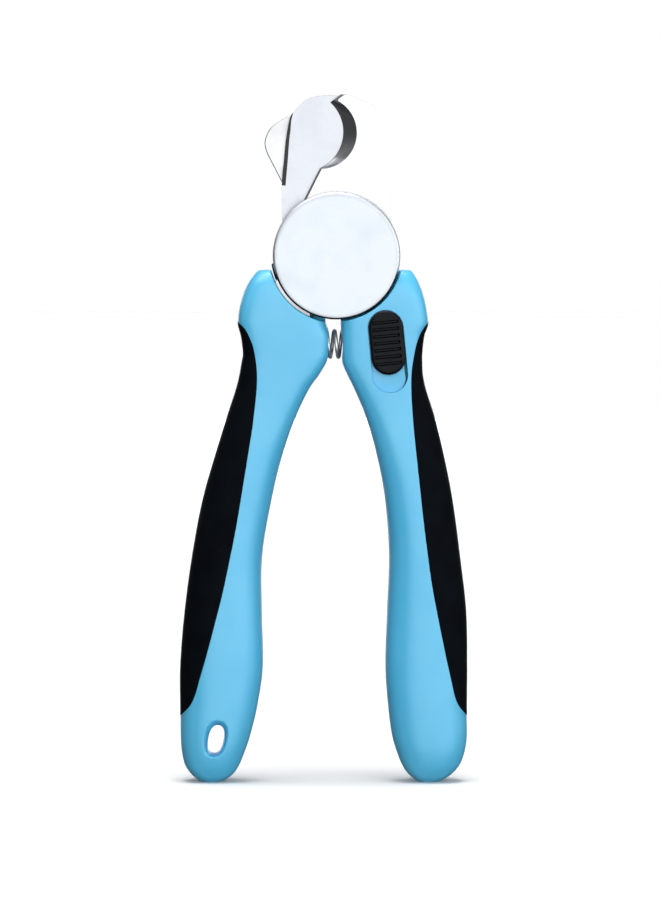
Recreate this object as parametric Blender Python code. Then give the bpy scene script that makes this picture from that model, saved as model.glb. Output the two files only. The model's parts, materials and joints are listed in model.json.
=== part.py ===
"""Plier-type nail clipper for dogs, standing upright on the ends of its handles.

Lengths below are in millimetres and are turned into metres by MM. The model stands with +Z up,
its front towards -Y, and its origin on the floor in the middle of its footprint. Every outline is
drawn around the pivot: x to the right, z up, both measured from the pivot's axis.
"""
import math

import bmesh
import bpy

MM = 0.001
GAP = 0.3                                # clearance kept between two pieces that touch

# --- overall ---------------------------------------------------------------
PIVOT_X = 2.95                           # the pivot stands a little right of the middle
PIVOT_HEIGHT = 122.8
HANDLE_TOP = -3.6
HANDLE_FOOT = -PIVOT_HEIGHT

# --- pivot stack, front to back (y) ---------------------------------------------
DISC_RADIUS = 14.75
DISC_FRONT = -6.3
DISC_BACK = -3.05
DISC_EDGE_RADIUS = 1.2
DISC_THICKNESS = 1.0
DISC_WALL_RADIUS = 12.6
DISC_CLIP_RADII = (6.3, 7.4)             # ring behind the disc that grips the screw's head
DISC_CLIP_BACK = -3.6
SCREW_HEAD_FRONT = -4.85
SCREW_HEAD_RADIUS = 6.0
SCREW_SHANK_RADIUS = 1.7
SCREW_BACK = 5.2
SCREW_SLOT = (1.2, 0.9)                  # width and depth
FRONT_BLADE_SPAN = (-2.75, -0.15)
REAR_BLADE_SPAN = (0.15, 2.75)
GUARD_WASHER_SPAN = (3.05, 3.45)
GUARD_SPAN = (3.75, 4.75)
SPRING_WASHER_MIDDLE = 5.35
SPRING_WASHER_RADIUS = 6.4
SPRING_WASHER_THICKNESS = 0.36
SPRING_WASHER_WAVE = 0.12
GUARD_WASHER_RADIUS = 7.0
NUT_HEAD_SPAN = (5.95, 7.4)
NUT_HEAD_RADIUS = 7.5
NUT_HOLE_RADIUS = 2.0
NUT_HOLE_BACK = 5.5
NUT_SLOT = (1.4, 0.7)                    # width and depth
TURNED_EDGE = 0.6                        # chamfer on the screw and the nut
AXIS_RADIUS = 0.05                       # a turned solid starts this close to its axis
BARREL_RADIUS = 3.2
PIVOT_BORE_RADIUS = BARREL_RADIUS + GAP
BOSS_RADIUS = 13.5                       # round part of each blade, under the disc
SHOULDER_RADIUS = 15.2                   # step of the front blade above its tang
SHOULDER_ANGLES = (188.0, 203.0)

# --- blades ---------------------------------------------------------------------
NOTCH_RADIUS = 9.2
NOTCH_HEIGHT = 28.5
FRONT_NOTCH_X = -7.7
REAR_NOTCH_X = 11.7
NOTCH_UPPER_ANGLE = 47.6
NOTCH_LOWER_ANGLE = -65.0
FRONT_JAW_BACK = [(12.65, 10.3), (12.2, 17.3), (11.7, 24.3), (11.0, 30.1), (10.2, 32.3), (8.9, 34.0),
                  (7.3, 35.2), (5.0, 36.1), (3.1, 37.0), (1.0, 37.2)]
FRONT_JAW_HEEL = [(-7.3, 13.3), (-8.6, 10.8)]
REAR_JAW_BACK = [(3.0, 36.7), (-0.9, 36.9), (-3.8, 36.8), (-6.15, 36.3), (-7.6, 35.5), (-10.1, 32.9),
                 (-10.9, 31.3), (-11.75, 26.6), (-12.2, 21.9), (-12.7, 16.1), (-12.6, 6.6)]
REAR_JAW_HEEL = [(9.3, 10.2), (10.1, 13.6)]
FRONT_JAW_START = 380.0                  # angles at which the jaws leave the round parts
HEEL_END_ANGLE = 132.0
REAR_JAW_START = 42.0
REAR_JAW_END = 157.0
LOCK_NOTCH_ANGLES = (299.7, 313.6)       # notch in the front blade that the lock's bolt enters
LOCK_NOTCH_FLOOR = [(6.35, -7.8), (8.95, -7.8)]
TANG_JOIN_ANGLES = (20.0, 65.0)          # where a tang leaves the round part, below the horizontal
# centre line of each tang as (x, z, half width)
LEFT_TANG = [(-12.8, -22.0, 4.2), (-15.4, -32.0, 3.9), (-21.6, -50.0, 3.2), (-26.6, -78.0, 2.6)]
RIGHT_TANG = [(11.6, -22.0, 4.0), (12.7, -32.0, 3.8), (18.0, -50.0, 3.1), (21.9, -78.0, 2.6)]
TANG_ROOM_RISE = 0.3                     # how far a tang's room runs on above its root, as a part
TANG_HOLES_AT = (0.25, 0.75)             # places of the keying holes along the tang's lower stretch
TANG_HOLE_RADIUS = 1.5
KEY_PEG_RADIUS = TANG_HOLE_RADIUS - GAP

# --- safety guard -----------------------------------------------------------
GUARD_RING_RADIUS = 7.6
GUARD_RING_ANGLES = (166.0, 416.0)
GUARD_TOP_RADIUS = 33.9
GUARD_RIGHT_SIDE = [(-0.6, 17.0), (-1.5, 27.5), (-2.3, 31.2), (-3.6, 33.2)]
GUARD_TOP_ANGLES = (98.0, 110.0)
GUARD_LEFT_SIDE = [(-14.7, 29.9), (-16.0, 28.2), (-16.7, 26.0), (-16.3, 23.8), (-15.4, 21.9),
                   (-12.4, 16.1)]

# --- handles, as (height, right inner, right outer, left inner, left outer) --------------
HANDLE_EDGES = [
    (-3.6, 0.9, 17.2, -2.9, -18.1),
    (-4.4, 0.9, 17.9, -2.9, -18.9),
    (-6.3, 0.9, 19.0, -2.9, -20.3),
    (-9.1, 0.9, 20.1, -2.9, -21.6),
    (-12.5, 0.9, 20.9, -2.9, -22.55),
    (-15.9, 1.0, 21.2, -2.6, -22.8),
    (-18.7, 1.1, 20.3, -1.6, -22.1),
    (-23.0, 1.3, 19.8, -1.8, -21.6),
    (-27.7, 2.5, 19.95, -4.0, -22.4),
    (-31.0, 4.1, 20.6, -6.3, -23.2),
    (-37.5, 6.8, 22.65, -9.4, -25.3),
    (-47.2, 9.5, 25.0, -12.75, -28.3),
    (-57.0, 11.3, 26.9, -15.1, -31.05),
    (-70.0, 12.2, 28.65, -17.25, -33.5),
    (-83.0, 11.75, 30.1, -17.35, -35.25),
    (-96.0, 11.4, 30.35, -17.15, -36.3),
    (-105.7, 12.1, 30.3, -18.55, -36.3),
    (-112.2, 13.0, 30.4, -20.15, -36.3),
    (-115.9, 14.1, 29.85, -21.4, -36.0),
    (-119.1, 15.4, 28.6, -22.75, -35.2),
    (-121.2, 16.9, 26.7, -24.2, -33.7),
    (-122.4, 18.4, 24.8, -26.0, -32.2),
    (-122.8, 19.4, 23.4, -27.2, -31.0),
]
# inner border of each rubber grip, as (height, right, left)
GRIP_BORDER = [
    (-15.2, 21.5, -23.1),
    (-16.6, 20.2, -21.3),
    (-18.4, 19.1, -20.2),
    (-21.5, 18.1, -19.0),
    (-28.0, 17.15, -18.2),
    (-37.5, 17.5, -19.0),
    (-50.5, 18.8, -21.0),
    (-63.5, 20.25, -23.2),
    (-76.5, 22.0, -25.85),
    (-89.5, 24.5, -29.1),
    (-98.0, 26.35, -31.5),
    (-104.0, 27.95, -33.5),
    (-107.8, 30.8, -36.8),
]
# half depth of the handles front to back, as (height, half depth)
HANDLE_DEPTH = [(-3.6, 4.3), (-4.4, 5.2), (-6.5, 6.1), (-12.0, 6.6), (-32.0, 6.7), (-50.0, 7.2),
                (-65.0, 7.5), (-86.0, 7.4), (-104.0, 7.0), (-114.0, 6.3), (-118.5, 5.3),
                (-121.4, 3.9), (-122.8, 2.4)]
# how square the section is, as (height, exponent of the superellipse)
HANDLE_SQUARENESS = [(-3.6, 3.8), (-20.0, 4.6), (-33.0, 3.4), (-50.0, 2.5), (-122.8, 2.4)]
RING_HEIGHTS = [-3.6, -4.4, -6.3, -9.5, -13.0, -16.0, -18.7, -23.0, -27.7, -31.0, -37.5, -47.0, -57.0,
                -70.0, -83.0, -96.0, -106.0, -112.2, -116.0, -119.1, -121.2, -122.4, -122.8]
RING_POINTS = 20
HEAD_ARC_RADIUS = 15.5                   # concave end of both handles around the disc
SHELL_WALL = 1.9
CORE_SPAN = (-6.2, -102.0)
GRIP_BORDER_STEPS = 24
HANGING_HOLE = (-28.05, -112.7)
HANGING_HOLE_HALF = (2.1, 3.65)
HANGING_HOLE_LEAN = 9.0

# --- return spring ----------------------------------------------------------
SPRING_HEIGHT = -20.7
SPRING_WIRE_RADIUS = 0.45
SPRING_OUTER_RADIUS = 3.5
SPRING_TURNS = 6.0
SPRING_STEPS_PER_TURN = 14
SPRING_POCKET_ENDS = (-6.6, 5.4)
SEAT_RADII = (3.8, 4.2)
SEAT_FLOOR = 0.5
SEAT_DEPTH = 3.2

# --- lock -------------------------------------------------------------------
LOCK_PLACE = (11.7, -20.1)
LOCK_LEAN = -5.5
LOCK_TRAVEL = 4.0
BUTTON_HALF = (3.95, 7.45)
BUTTON_SPAN = (-7.4, -6.2)
GROOVE_COUNT = 7
GROOVE_PITCH = 1.6
GROOVE_SIZE = (6.0, 0.45, 0.75)
RECESS_FLOOR = -5.9
STEM_HALF = (1.2, 2.7)
STEM_END = -3.05
BOLT_SPAN = (-2.75, -1.35)
BOLT_OUTLINE = [(-3.9, -6.5), (2.2, -6.5), (2.2, 4.0), (-1.9, 4.0), (-1.9, 9.8), (-3.9, 8.6)]
BOLT_POCKET = [(-4.25, -11.0), (4.0, -11.0), (4.0, 4.35), (-1.55, 4.35), (-1.55, 13.0), (-4.25, 13.0)]
DETENT_SPAN = (-2.7, -1.4)
DETENT_ENDS = (-6.0, 2.0)
DETENT_PLACE = 3.25
DETENT_BULGE = 0.45
DETENT_THICKNESS = 0.35

FAR = 45.0                               # cutters reach this far past the handles


# --- curves and outlines --------------------------------------------------------
def follow(points, height):
    """Value at a height on the smooth curve through (height, value) points, highest first."""
    if height >= points[0][0]:
        return points[0][1]
    if height <= points[-1][0]:
        return points[-1][1]
    index = 0
    while points[index + 1][0] > height:
        index += 1
    (z0, v0), (z1, v1) = points[index], points[index + 1]
    before = points[max(index - 1, 0)]
    after = points[min(index + 2, len(points) - 1)]
    slope0 = (v1 - before[1]) / (z1 - before[0])
    slope1 = (after[1] - v0) / (after[0] - z0)
    span = z1 - z0
    t = (height - z0) / span
    return ((2 * t ** 3 - 3 * t ** 2 + 1) * v0 + (t ** 3 - 2 * t ** 2 + t) * span * slope0
            + (3 * t ** 2 - 2 * t ** 3) * v1 + (t ** 3 - t ** 2) * span * slope1)


def column(table, index):
    """One curve out of a table whose first column is the height."""
    return [(row[0], row[index]) for row in table]


def arc(centre_x, centre_z, radius, start, end, steps):
    """Points on an arc, with its angles in degrees from +x towards +z."""
    points = []
    for step in range(steps + 1):
        angle = math.radians(start + (end - start) * step / steps)
        points.append((centre_x + radius * math.cos(angle), centre_z + radius * math.sin(angle)))
    return points


def stadium(half_width, half_length, lowest=None, steps=8):
    """Upright slot outline with round ends; lowest moves its lower end down."""
    upper = half_length - half_width
    lower = -upper if lowest is None else lowest + half_width
    return arc(0, upper, half_width, 0, 180, steps) + arc(0, lower, half_width, 180, 360, steps)


def strip_sides(line, grow):
    """Left and right side of a strip along a centre line of (x, z, half width) points."""
    left = []
    right = []
    for index, (x, z, half) in enumerate(line):
        x0, z0, _ = line[max(index - 1, 0)]
        x1, z1, _ = line[min(index + 1, len(line) - 1)]
        length = math.hypot(x1 - x0, z1 - z0)
        across = ((z1 - z0) / length, -(x1 - x0) / length)
        left.append((x + across[0] * (half + grow), z + across[1] * (half + grow)))
        right.append((x - across[0] * (half + grow), z - across[1] * (half + grow)))
    return left, right


def tang_end(line, grow):
    """Round lower end of a tang, from its left side to its right side."""
    x, z, half = line[-1]
    return arc(x, z, half + grow, 180 + 20, 360 - 20, 6)


# --- mesh building ------------------------------------------------------------
def material(name, colour, roughness, metallic):
    made = bpy.data.materials.new(name)
    made.use_nodes = True
    shader = made.node_tree.nodes["Principled BSDF"]
    shader.inputs["Base Color"].default_value = (*colour, 1.0)
    shader.inputs["Roughness"].default_value = roughness
    shader.inputs["Metallic"].default_value = metallic
    made.diffuse_color = (*colour, 1.0)
    return made


def mesh_object(name, vertices, faces, parent, smooth_angle=None):
    """Closed mesh from millimetre vertices, its faces turned outwards."""
    mesh = bpy.data.meshes.new(name)
    mesh.from_pydata([(x * MM, y * MM, z * MM) for x, y, z in vertices], [], faces)
    shape = bmesh.new()
    shape.from_mesh(mesh)
    bmesh.ops.recalc_face_normals(shape, faces=shape.faces)
    shape.to_mesh(mesh)
    shape.free()
    if smooth_angle is not None:
        mesh.shade_smooth()
        mesh.set_sharp_from_angle(angle=math.radians(smooth_angle))
    made = bpy.data.objects.new(name, mesh)
    made.parent = parent
    bpy.context.scene.collection.objects.link(made)
    return made


def prism(name, outline, span, parent):
    """Plate with an (x, z) outline, from span[0] to span[1] along y."""
    count = len(outline)
    vertices = [(x, y, z) for y in span for x, z in outline]
    faces = [list(range(count)), list(range(count, 2 * count))]
    for index in range(count):
        after = (index + 1) % count
        faces.append([index, after, count + after, count + index])
    return mesh_object(name, vertices, faces, parent)


def rings_to_mesh(rings, closed_ends):
    """Vertices and faces of a skin over rings with the same number of points."""
    count = len(rings[0])
    vertices = [point for ring in rings for point in ring]
    faces = []
    last = len(rings) - 1 if closed_ends else len(rings)
    for level in range(last):
        lower = level * count
        upper = ((level + 1) % len(rings)) * count
        for index in range(count):
            after = (index + 1) % count
            faces.append([lower + index, lower + after, upper + after, upper + index])
    if closed_ends:
        faces.append(list(range(count)))
        faces.append(list(range(last * count, (last + 1) * count)))
    return vertices, faces


def turned(name, profile, parent, steps=40, place=(0, 0, 0), along="y", hollow=True):
    """Turned piece: a profile of (radius, distance along the axis) points.

    A hollow profile is a closed loop; a solid one runs from end to end and is capped.
    """
    rings = []
    for radius, distance in profile:
        ring = []
        for step in range(steps):
            angle = 2 * math.pi * step / steps
            u = radius * math.cos(angle)
            v = radius * math.sin(angle)
            point = (u, distance, v) if along == "y" else (distance, u, v)
            ring.append(tuple(a + b for a, b in zip(point, place)))
        rings.append(ring)
    vertices, faces = rings_to_mesh(rings, closed_ends=not hollow)
    return mesh_object(name, vertices, faces, parent, smooth_angle=35)


def box(name, low, high, parent):
    """Block between two corners."""
    outline = [(low[0], low[2]), (high[0], low[2]), (high[0], high[2]), (low[0], high[2])]
    return prism(name, outline, (low[1], high[1]), parent)


def as_cutter(shape):
    shape.hide_render = True
    shape.display_type = "WIRE"
    return shape


def boolean(target, tool, operation):
    """Combine a target with a tool, which is kept only as a guide."""
    as_cutter(tool)
    step = target.modifiers.new(tool.name, "BOOLEAN")
    step.operation = operation
    step.solver = "EXACT"
    step.object = tool


def cut(target, *tools):
    for tool in tools:
        boolean(target, tool, "DIFFERENCE")


def give(shape, surface):
    shape.data.materials.clear()
    shape.data.materials.append(surface)
    return shape


# --- handles ----------------------------------------------------------------
def handle_body(name, side, inset, span, parent):
    """Rounded handle on one side (+1 right, -1 left), shrunk by inset."""
    inner = column(HANDLE_EDGES, 1 if side > 0 else 3)
    outer = column(HANDLE_EDGES, 2 if side > 0 else 4)
    heights = [z for z in RING_HEIGHTS if span[1] < z < span[0]]
    rings = []
    for z in [span[0]] + heights + [span[1]]:
        near = follow(inner, z) + side * inset
        far = follow(outer, z) - side * inset
        half_depth = follow(HANDLE_DEPTH, z) - inset
        power = 2 / follow(HANDLE_SQUARENESS, z)
        ring = []
        for step in range(RING_POINTS):
            angle = 2 * math.pi * step / RING_POINTS
            cosine = math.cos(angle)
            sine = math.sin(angle)
            x = (near + far) / 2 + (far - near) / 2 * math.copysign(abs(cosine) ** power, cosine)
            y = half_depth * math.copysign(abs(sine) ** power, sine)
            ring.append((x, y, z))
        rings.append(ring)
    vertices, faces = rings_to_mesh(rings, closed_ends=True)
    return mesh_object(name, vertices, faces, parent, smooth_angle=50)


def full_handle(name, side, parent):
    return handle_body(name, side, 0, (HANDLE_TOP, HANDLE_FOOT), parent)


def head_arc(name, radius, parent):
    """Drum around the pivot that hollows the ends of the handles."""
    return turned(name, [(radius, -FAR), (radius, FAR)], parent, steps=64, hollow=False)


def shell_cavity(name, side, parent):
    """Space inside a shell, a gap wider than the core that fills it."""
    cavity = handle_body(name, side, SHELL_WALL, (CORE_SPAN[0] + GAP, CORE_SPAN[1] - GAP), parent)
    cut(cavity, head_arc(name + "_arc", HEAD_ARC_RADIUS + SHELL_WALL, parent))
    return cavity


def grip_zone(name, side, shift, parent):
    """Plate over everything outside the grip's border, moved outwards by shift."""
    border = column(GRIP_BORDER, 1 if side > 0 else 2)
    top = border[0][0] - shift
    foot = border[-1][0] + shift
    outline = []
    for step in range(GRIP_BORDER_STEPS + 1):
        z = top + (foot - top) * step / GRIP_BORDER_STEPS
        outline.append((follow(border, z) + side * shift, z))
    outline += [(side * FAR, foot), (side * FAR, top)]
    return prism(name, outline, (-FAR, FAR), parent)


def tang_space(name, line, span, parent):
    """Room for a tang inside a handle, with the pegs that key it left standing."""
    root = TANG_ROOTS[line[0]]
    above = tuple(a + (a - b) * TANG_ROOM_RISE for a, b in zip(root[:2], line[0])) + (root[2],)
    left, right = strip_sides([above, root] + line, GAP)
    outline = left + tang_end(line, GAP) + right[::-1]
    space = prism(name, outline, (span[0] - GAP, span[1] + GAP), parent)
    pegs = key_holes(name + "_peg", line, KEY_PEG_RADIUS, parent)
    cut(space, *pegs)
    return space


def key_holes(name, line, radius, parent):
    """Round rods through the tang's lower stretch."""
    (x0, z0, _), (x1, z1, _) = line[1], line[-1]
    rods = []
    for number, part in enumerate(TANG_HOLES_AT):
        place = (x0 + (x1 - x0) * part, 0, z0 + (z1 - z0) * part)
        rods.append(turned(f"{name}_{number}", [(radius, -FAR), (radius, FAR)], parent, steps=14,
                           place=place, hollow=False))
    return rods


def spring_pocket(name, side, parent):
    """Round pocket for one end of the return spring and its seat."""
    end = SPRING_POCKET_ENDS[1 if side > 0 else 0]
    radius = SEAT_RADII[1] + GAP
    return turned(name, [(radius, 0), (radius, end)], parent, steps=28,
                  place=(0, 0, SPRING_HEIGHT), along="x", hollow=False)


def hanging_hole(name, parent):
    """Leaning oval hole through the end of the left handle."""
    x, z = HANGING_HOLE
    hole = prism(name, stadium(*HANGING_HOLE_HALF), (-FAR, FAR), parent)
    hole.location = (x * MM, 0, z * MM)
    hole.rotation_euler = (0, math.radians(HANGING_HOLE_LEAN), 0)
    return hole


def make_shell(side, line, span, pivot, surface):
    """Hard coloured shell of one handle."""
    word = "right" if side > 0 else "left"
    shell = full_handle(f"{word}_cover", side, pivot)
    cut(shell,
        head_arc(f"{word}_cover_arc", HEAD_ARC_RADIUS, pivot),
        grip_zone(f"{word}_cover_border", side, 0, pivot),
        shell_cavity(f"{word}_cover_cavity", side, pivot),
        spring_pocket(f"{word}_cover_pocket", side, pivot),
        tang_space(f"{word}_cover_tang", line, span, pivot))
    return give(shell, surface)


def make_core(side, line, span, pivot, surface):
    """Stiff core inside one handle, moulded on the blade's tang."""
    word = "right" if side > 0 else "left"
    core = handle_body(f"{word}_core", side, SHELL_WALL + GAP, CORE_SPAN, pivot)
    cut(core,
        head_arc(f"{word}_core_arc", HEAD_ARC_RADIUS + SHELL_WALL + GAP, pivot),
        spring_pocket(f"{word}_core_pocket", side, pivot),
        tang_space(f"{word}_core_tang", line, span, pivot))
    return give(core, surface)


def make_grip(side, pivot, surface):
    """Soft grip along the outer side of one handle."""
    word = "right" if side > 0 else "left"
    grip = full_handle(f"{word}_grip", side, pivot)
    boolean(grip, grip_zone(f"{word}_grip_border", side, GAP, pivot), "INTERSECT")
    cut(grip, shell_cavity(f"{word}_grip_cavity", side, pivot))
    return give(grip, surface)


# --- blades and guard ----------------------------------------------------------
def tang_root(line, side):
    """Where a tang's centre line starts, inside the round part of its blade."""
    middle = math.radians(-sum(TANG_JOIN_ANGLES) / 2)
    reach = BOSS_RADIUS - 1.0
    width = (BOSS_RADIUS * math.radians(TANG_JOIN_ANGLES[1] - TANG_JOIN_ANGLES[0])) / 2
    return (side * reach * math.cos(middle), reach * math.sin(middle), width)


TANG_ROOTS = {LEFT_TANG[0]: tang_root(LEFT_TANG, -1), RIGHT_TANG[0]: tang_root(RIGHT_TANG, 1)}


def front_blade_outline():
    """Right jaw, round part with the lock's notch, and the tang for the left handle."""
    lower = 180 + TANG_JOIN_ANGLES[1]
    left, right = strip_sides([tang_root(LEFT_TANG, -1)] + LEFT_TANG, 0)
    return (arc(0, 0, BOSS_RADIUS, lower, LOCK_NOTCH_ANGLES[0], 6) + LOCK_NOTCH_FLOOR
            + arc(0, 0, BOSS_RADIUS, LOCK_NOTCH_ANGLES[1], FRONT_JAW_START, 8) + FRONT_JAW_BACK
            + arc(FRONT_NOTCH_X, NOTCH_HEIGHT, NOTCH_RADIUS, NOTCH_UPPER_ANGLE, NOTCH_LOWER_ANGLE, 14)
            + FRONT_JAW_HEEL + arc(0, 0, BOSS_RADIUS, HEEL_END_ANGLE, SHOULDER_ANGLES[0] - 3, 7)
            + arc(0, 0, SHOULDER_RADIUS, *SHOULDER_ANGLES, 4)
            + left + tang_end(LEFT_TANG, 0) + right[:0:-1])


def rear_blade_outline():
    """Left jaw, round part, and the tang for the right handle."""
    upper, lower = TANG_JOIN_ANGLES
    left, right = strip_sides(RIGHT_TANG, 0)
    return (arc(0, 0, BOSS_RADIUS, -upper, REAR_JAW_START, 8) + REAR_JAW_HEEL
            + arc(REAR_NOTCH_X, NOTCH_HEIGHT, NOTCH_RADIUS, 180 - NOTCH_LOWER_ANGLE,
                  180 - NOTCH_UPPER_ANGLE, 14)
            + REAR_JAW_BACK + arc(0, 0, BOSS_RADIUS, REAR_JAW_END, 360 - lower, 14)
            + left + tang_end(RIGHT_TANG, 0) + right[::-1])


def pivot_bore(name, parent, radius=PIVOT_BORE_RADIUS):
    return turned(name, [(radius, -FAR), (radius, FAR)], parent, steps=32, hollow=False)


def make_blade(name, outline, span, line, pivot, surface):
    blade = prism(name, outline, span, pivot)
    cut(blade, pivot_bore(f"{name}_bore", pivot),
        *key_holes(f"{name}_key", line, TANG_HOLE_RADIUS, pivot))
    return give(blade, surface)


def make_guard(pivot, surface):
    """Thin guard that swings behind the jaws."""
    outline = (arc(0, 0, GUARD_RING_RADIUS, *GUARD_RING_ANGLES, 22) + GUARD_RIGHT_SIDE
               + arc(0, 0, GUARD_TOP_RADIUS, *GUARD_TOP_ANGLES, 4) + GUARD_LEFT_SIDE)
    guard = prism("safety_guard", outline, GUARD_SPAN, pivot)
    cut(guard, pivot_bore("safety_guard_bore", pivot))
    return give(guard, surface)


# --- pivot hardware --------------------------------------------------------------
def make_cover_disc(pivot, surface):
    """Shallow cap that snaps over the head of the pivot screw."""
    middle = DISC_RADIUS - DISC_EDGE_RADIUS
    edge = []
    for angle in (90, 60, 30, 0):
        turn = math.radians(angle)
        edge.append((middle + DISC_EDGE_RADIUS * math.cos(turn),
                     DISC_FRONT + DISC_EDGE_RADIUS * (1 - math.sin(turn))))
    floor = DISC_FRONT + DISC_THICKNESS
    clip_inner, clip_outer = DISC_CLIP_RADII
    profile = [(AXIS_RADIUS, DISC_FRONT)] + edge + [
        (DISC_RADIUS, DISC_BACK), (DISC_WALL_RADIUS, DISC_BACK), (DISC_WALL_RADIUS, floor),
        (clip_outer, floor), (clip_outer, DISC_CLIP_BACK), (clip_inner, DISC_CLIP_BACK),
        (clip_inner, floor), (AXIS_RADIUS, floor)]
    disc = turned("cover_disc", profile, pivot, steps=48, hollow=False)
    return give(disc, surface)


def make_pivot_screw(pivot, surface):
    """Wide slotted screw that threads into the barrel of the nut."""
    profile = [(SCREW_HEAD_RADIUS - TURNED_EDGE, SCREW_HEAD_FRONT),
               (SCREW_HEAD_RADIUS, SCREW_HEAD_FRONT + TURNED_EDGE), (SCREW_HEAD_RADIUS, DISC_BACK),
               (SCREW_SHANK_RADIUS, DISC_BACK), (SCREW_SHANK_RADIUS, SCREW_BACK)]
    screw = turned("pivot_screw", profile, pivot, steps=32, hollow=False)
    width, depth = SCREW_SLOT
    cut(screw, box("pivot_screw_slot", (-FAR, -FAR, -width / 2), (FAR, SCREW_HEAD_FRONT + depth, width / 2),
                   pivot))
    return give(screw, surface)


def make_pivot_nut(pivot, surface):
    """Low nut with a barrel that both blades and the guard turn on."""
    head_front, head_back = NUT_HEAD_SPAN
    profile = [(NUT_HOLE_RADIUS, FRONT_BLADE_SPAN[0]), (BARREL_RADIUS, FRONT_BLADE_SPAN[0]),
               (BARREL_RADIUS, head_front), (NUT_HEAD_RADIUS, head_front),
               (NUT_HEAD_RADIUS, head_back - TURNED_EDGE), (NUT_HEAD_RADIUS - TURNED_EDGE, head_back),
               (AXIS_RADIUS, head_back), (AXIS_RADIUS, NUT_HOLE_BACK), (NUT_HOLE_RADIUS, NUT_HOLE_BACK)]
    nut = turned("pivot_nut", profile, pivot, steps=36, hollow=True)
    width, depth = NUT_SLOT
    slot = box("pivot_nut_slot", (-FAR, head_back - depth, -width / 2), (FAR, FAR, width / 2), pivot)
    cut(nut, slot)
    return give(nut, surface)


def make_guard_washer(pivot, surface):
    front, back = GUARD_WASHER_SPAN
    inner = PIVOT_BORE_RADIUS
    outer = GUARD_WASHER_RADIUS
    profile = [(inner, front), (outer, front), (outer, back), (inner, back)]
    return give(turned("guard_washer", profile, pivot, steps=32), surface)


def make_spring_washer(pivot, surface):
    """Washer with three waves that keeps the guard from turning by itself."""
    steps = 36
    rings = []
    inner = PIVOT_BORE_RADIUS
    outer = SPRING_WASHER_RADIUS
    half = SPRING_WASHER_THICKNESS / 2
    for radius, offset in ((inner, -half), (outer, -half), (outer, half), (inner, half)):
        ring = []
        for step in range(steps):
            angle = 2 * math.pi * step / steps
            wave = SPRING_WASHER_WAVE * math.cos(3 * angle)
            ring.append((radius * math.cos(angle), SPRING_WASHER_MIDDLE + wave + offset,
                         radius * math.sin(angle)))
        rings.append(ring)
    vertices, faces = rings_to_mesh(rings, closed_ends=False)
    return give(mesh_object("spring_washer", vertices, faces, pivot, smooth_angle=35), surface)


# --- return spring --------------------------------------------------------------
def make_return_spring(pivot, surface):
    """Coil between the two handles, below the pivot."""
    low = SPRING_POCKET_ENDS[0] + GAP + SEAT_FLOOR + GAP + SPRING_WIRE_RADIUS
    high = SPRING_POCKET_ENDS[1] - GAP - SEAT_FLOOR - GAP - SPRING_WIRE_RADIUS
    radius = SPRING_OUTER_RADIUS - SPRING_WIRE_RADIUS
    count = int(SPRING_TURNS * SPRING_STEPS_PER_TURN)
    rings = []
    for step in range(count + 1):
        part = step / count
        angle = 2 * math.pi * SPRING_TURNS * part
        outward = (0.0, math.cos(angle), math.sin(angle))
        ring = []
        for side in range(6):
            turn = 2 * math.pi * side / 6
            off_x = SPRING_WIRE_RADIUS * math.sin(turn)
            off_out = SPRING_WIRE_RADIUS * math.cos(turn)
            ring.append((low + (high - low) * part + off_x,
                         (radius + off_out) * outward[1],
                         (radius + off_out) * outward[2] + SPRING_HEIGHT))
        rings.append(ring)
    vertices, faces = rings_to_mesh(rings, closed_ends=True)
    return give(mesh_object("return_spring", vertices, faces, pivot, smooth_angle=70), surface)


def make_spring_seat(side, pivot, surface):
    """Thin cup that one end of the return spring presses on."""
    word = "right" if side > 0 else "left"
    floor = SPRING_POCKET_ENDS[1 if side > 0 else 0] - side * GAP
    inner, outer = SEAT_RADII
    top = floor - side * SEAT_FLOOR
    rim = floor - side * SEAT_DEPTH
    profile = [(AXIS_RADIUS, floor), (outer, floor), (outer, rim), (inner, rim), (inner, top),
               (AXIS_RADIUS, top)]
    seat = turned(f"{word}_spring_seat", profile, pivot, steps=28, place=(0, 0, SPRING_HEIGHT),
                  along="x", hollow=False)
    return give(seat, surface)


# --- lock -------------------------------------------------------------------
def make_lock_button(lock, surface):
    """Ribbed slider with a stem that reaches through the shell."""
    button = prism("lock_button", stadium(*BUTTON_HALF), BUTTON_SPAN, lock)
    width, length = STEM_HALF
    stem = box("lock_button_stem", (-width, BUTTON_SPAN[1] - GAP, -length), (width, STEM_END, length), lock)
    boolean(button, stem, "UNION")
    groove_width, groove_depth, groove_height = GROOVE_SIZE
    for number in range(GROOVE_COUNT):
        middle = (number - (GROOVE_COUNT - 1) / 2) * GROOVE_PITCH
        low = (-groove_width / 2, -FAR, middle - groove_height / 2)
        high = (groove_width / 2, BUTTON_SPAN[0] + groove_depth, middle + groove_height / 2)
        cut(button, box(f"lock_button_groove_{number}", low, high, lock))
    return give(button, surface)


def make_lock_bolt(lock, surface):
    """Flat bolt behind the button, pointing at the notch of the front blade."""
    return give(prism("lock_bolt", BOLT_OUTLINE, BOLT_SPAN, lock), surface)


def make_detent_spring(lock_place, surface):
    """Bowed leaf beside the bolt that clicks it into place."""
    low, high = DETENT_ENDS
    outline = []
    for offset, order in ((0.0, range(11)), (DETENT_THICKNESS, range(10, -1, -1))):
        for step in order:
            part = step / 10
            bow = DETENT_BULGE * (1 - (2 * part - 1) ** 2)
            outline.append((DETENT_PLACE - bow + offset, low + (high - low) * part))
    return give(prism("lock_detent_spring", outline, DETENT_SPAN, lock_place), surface)


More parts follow.
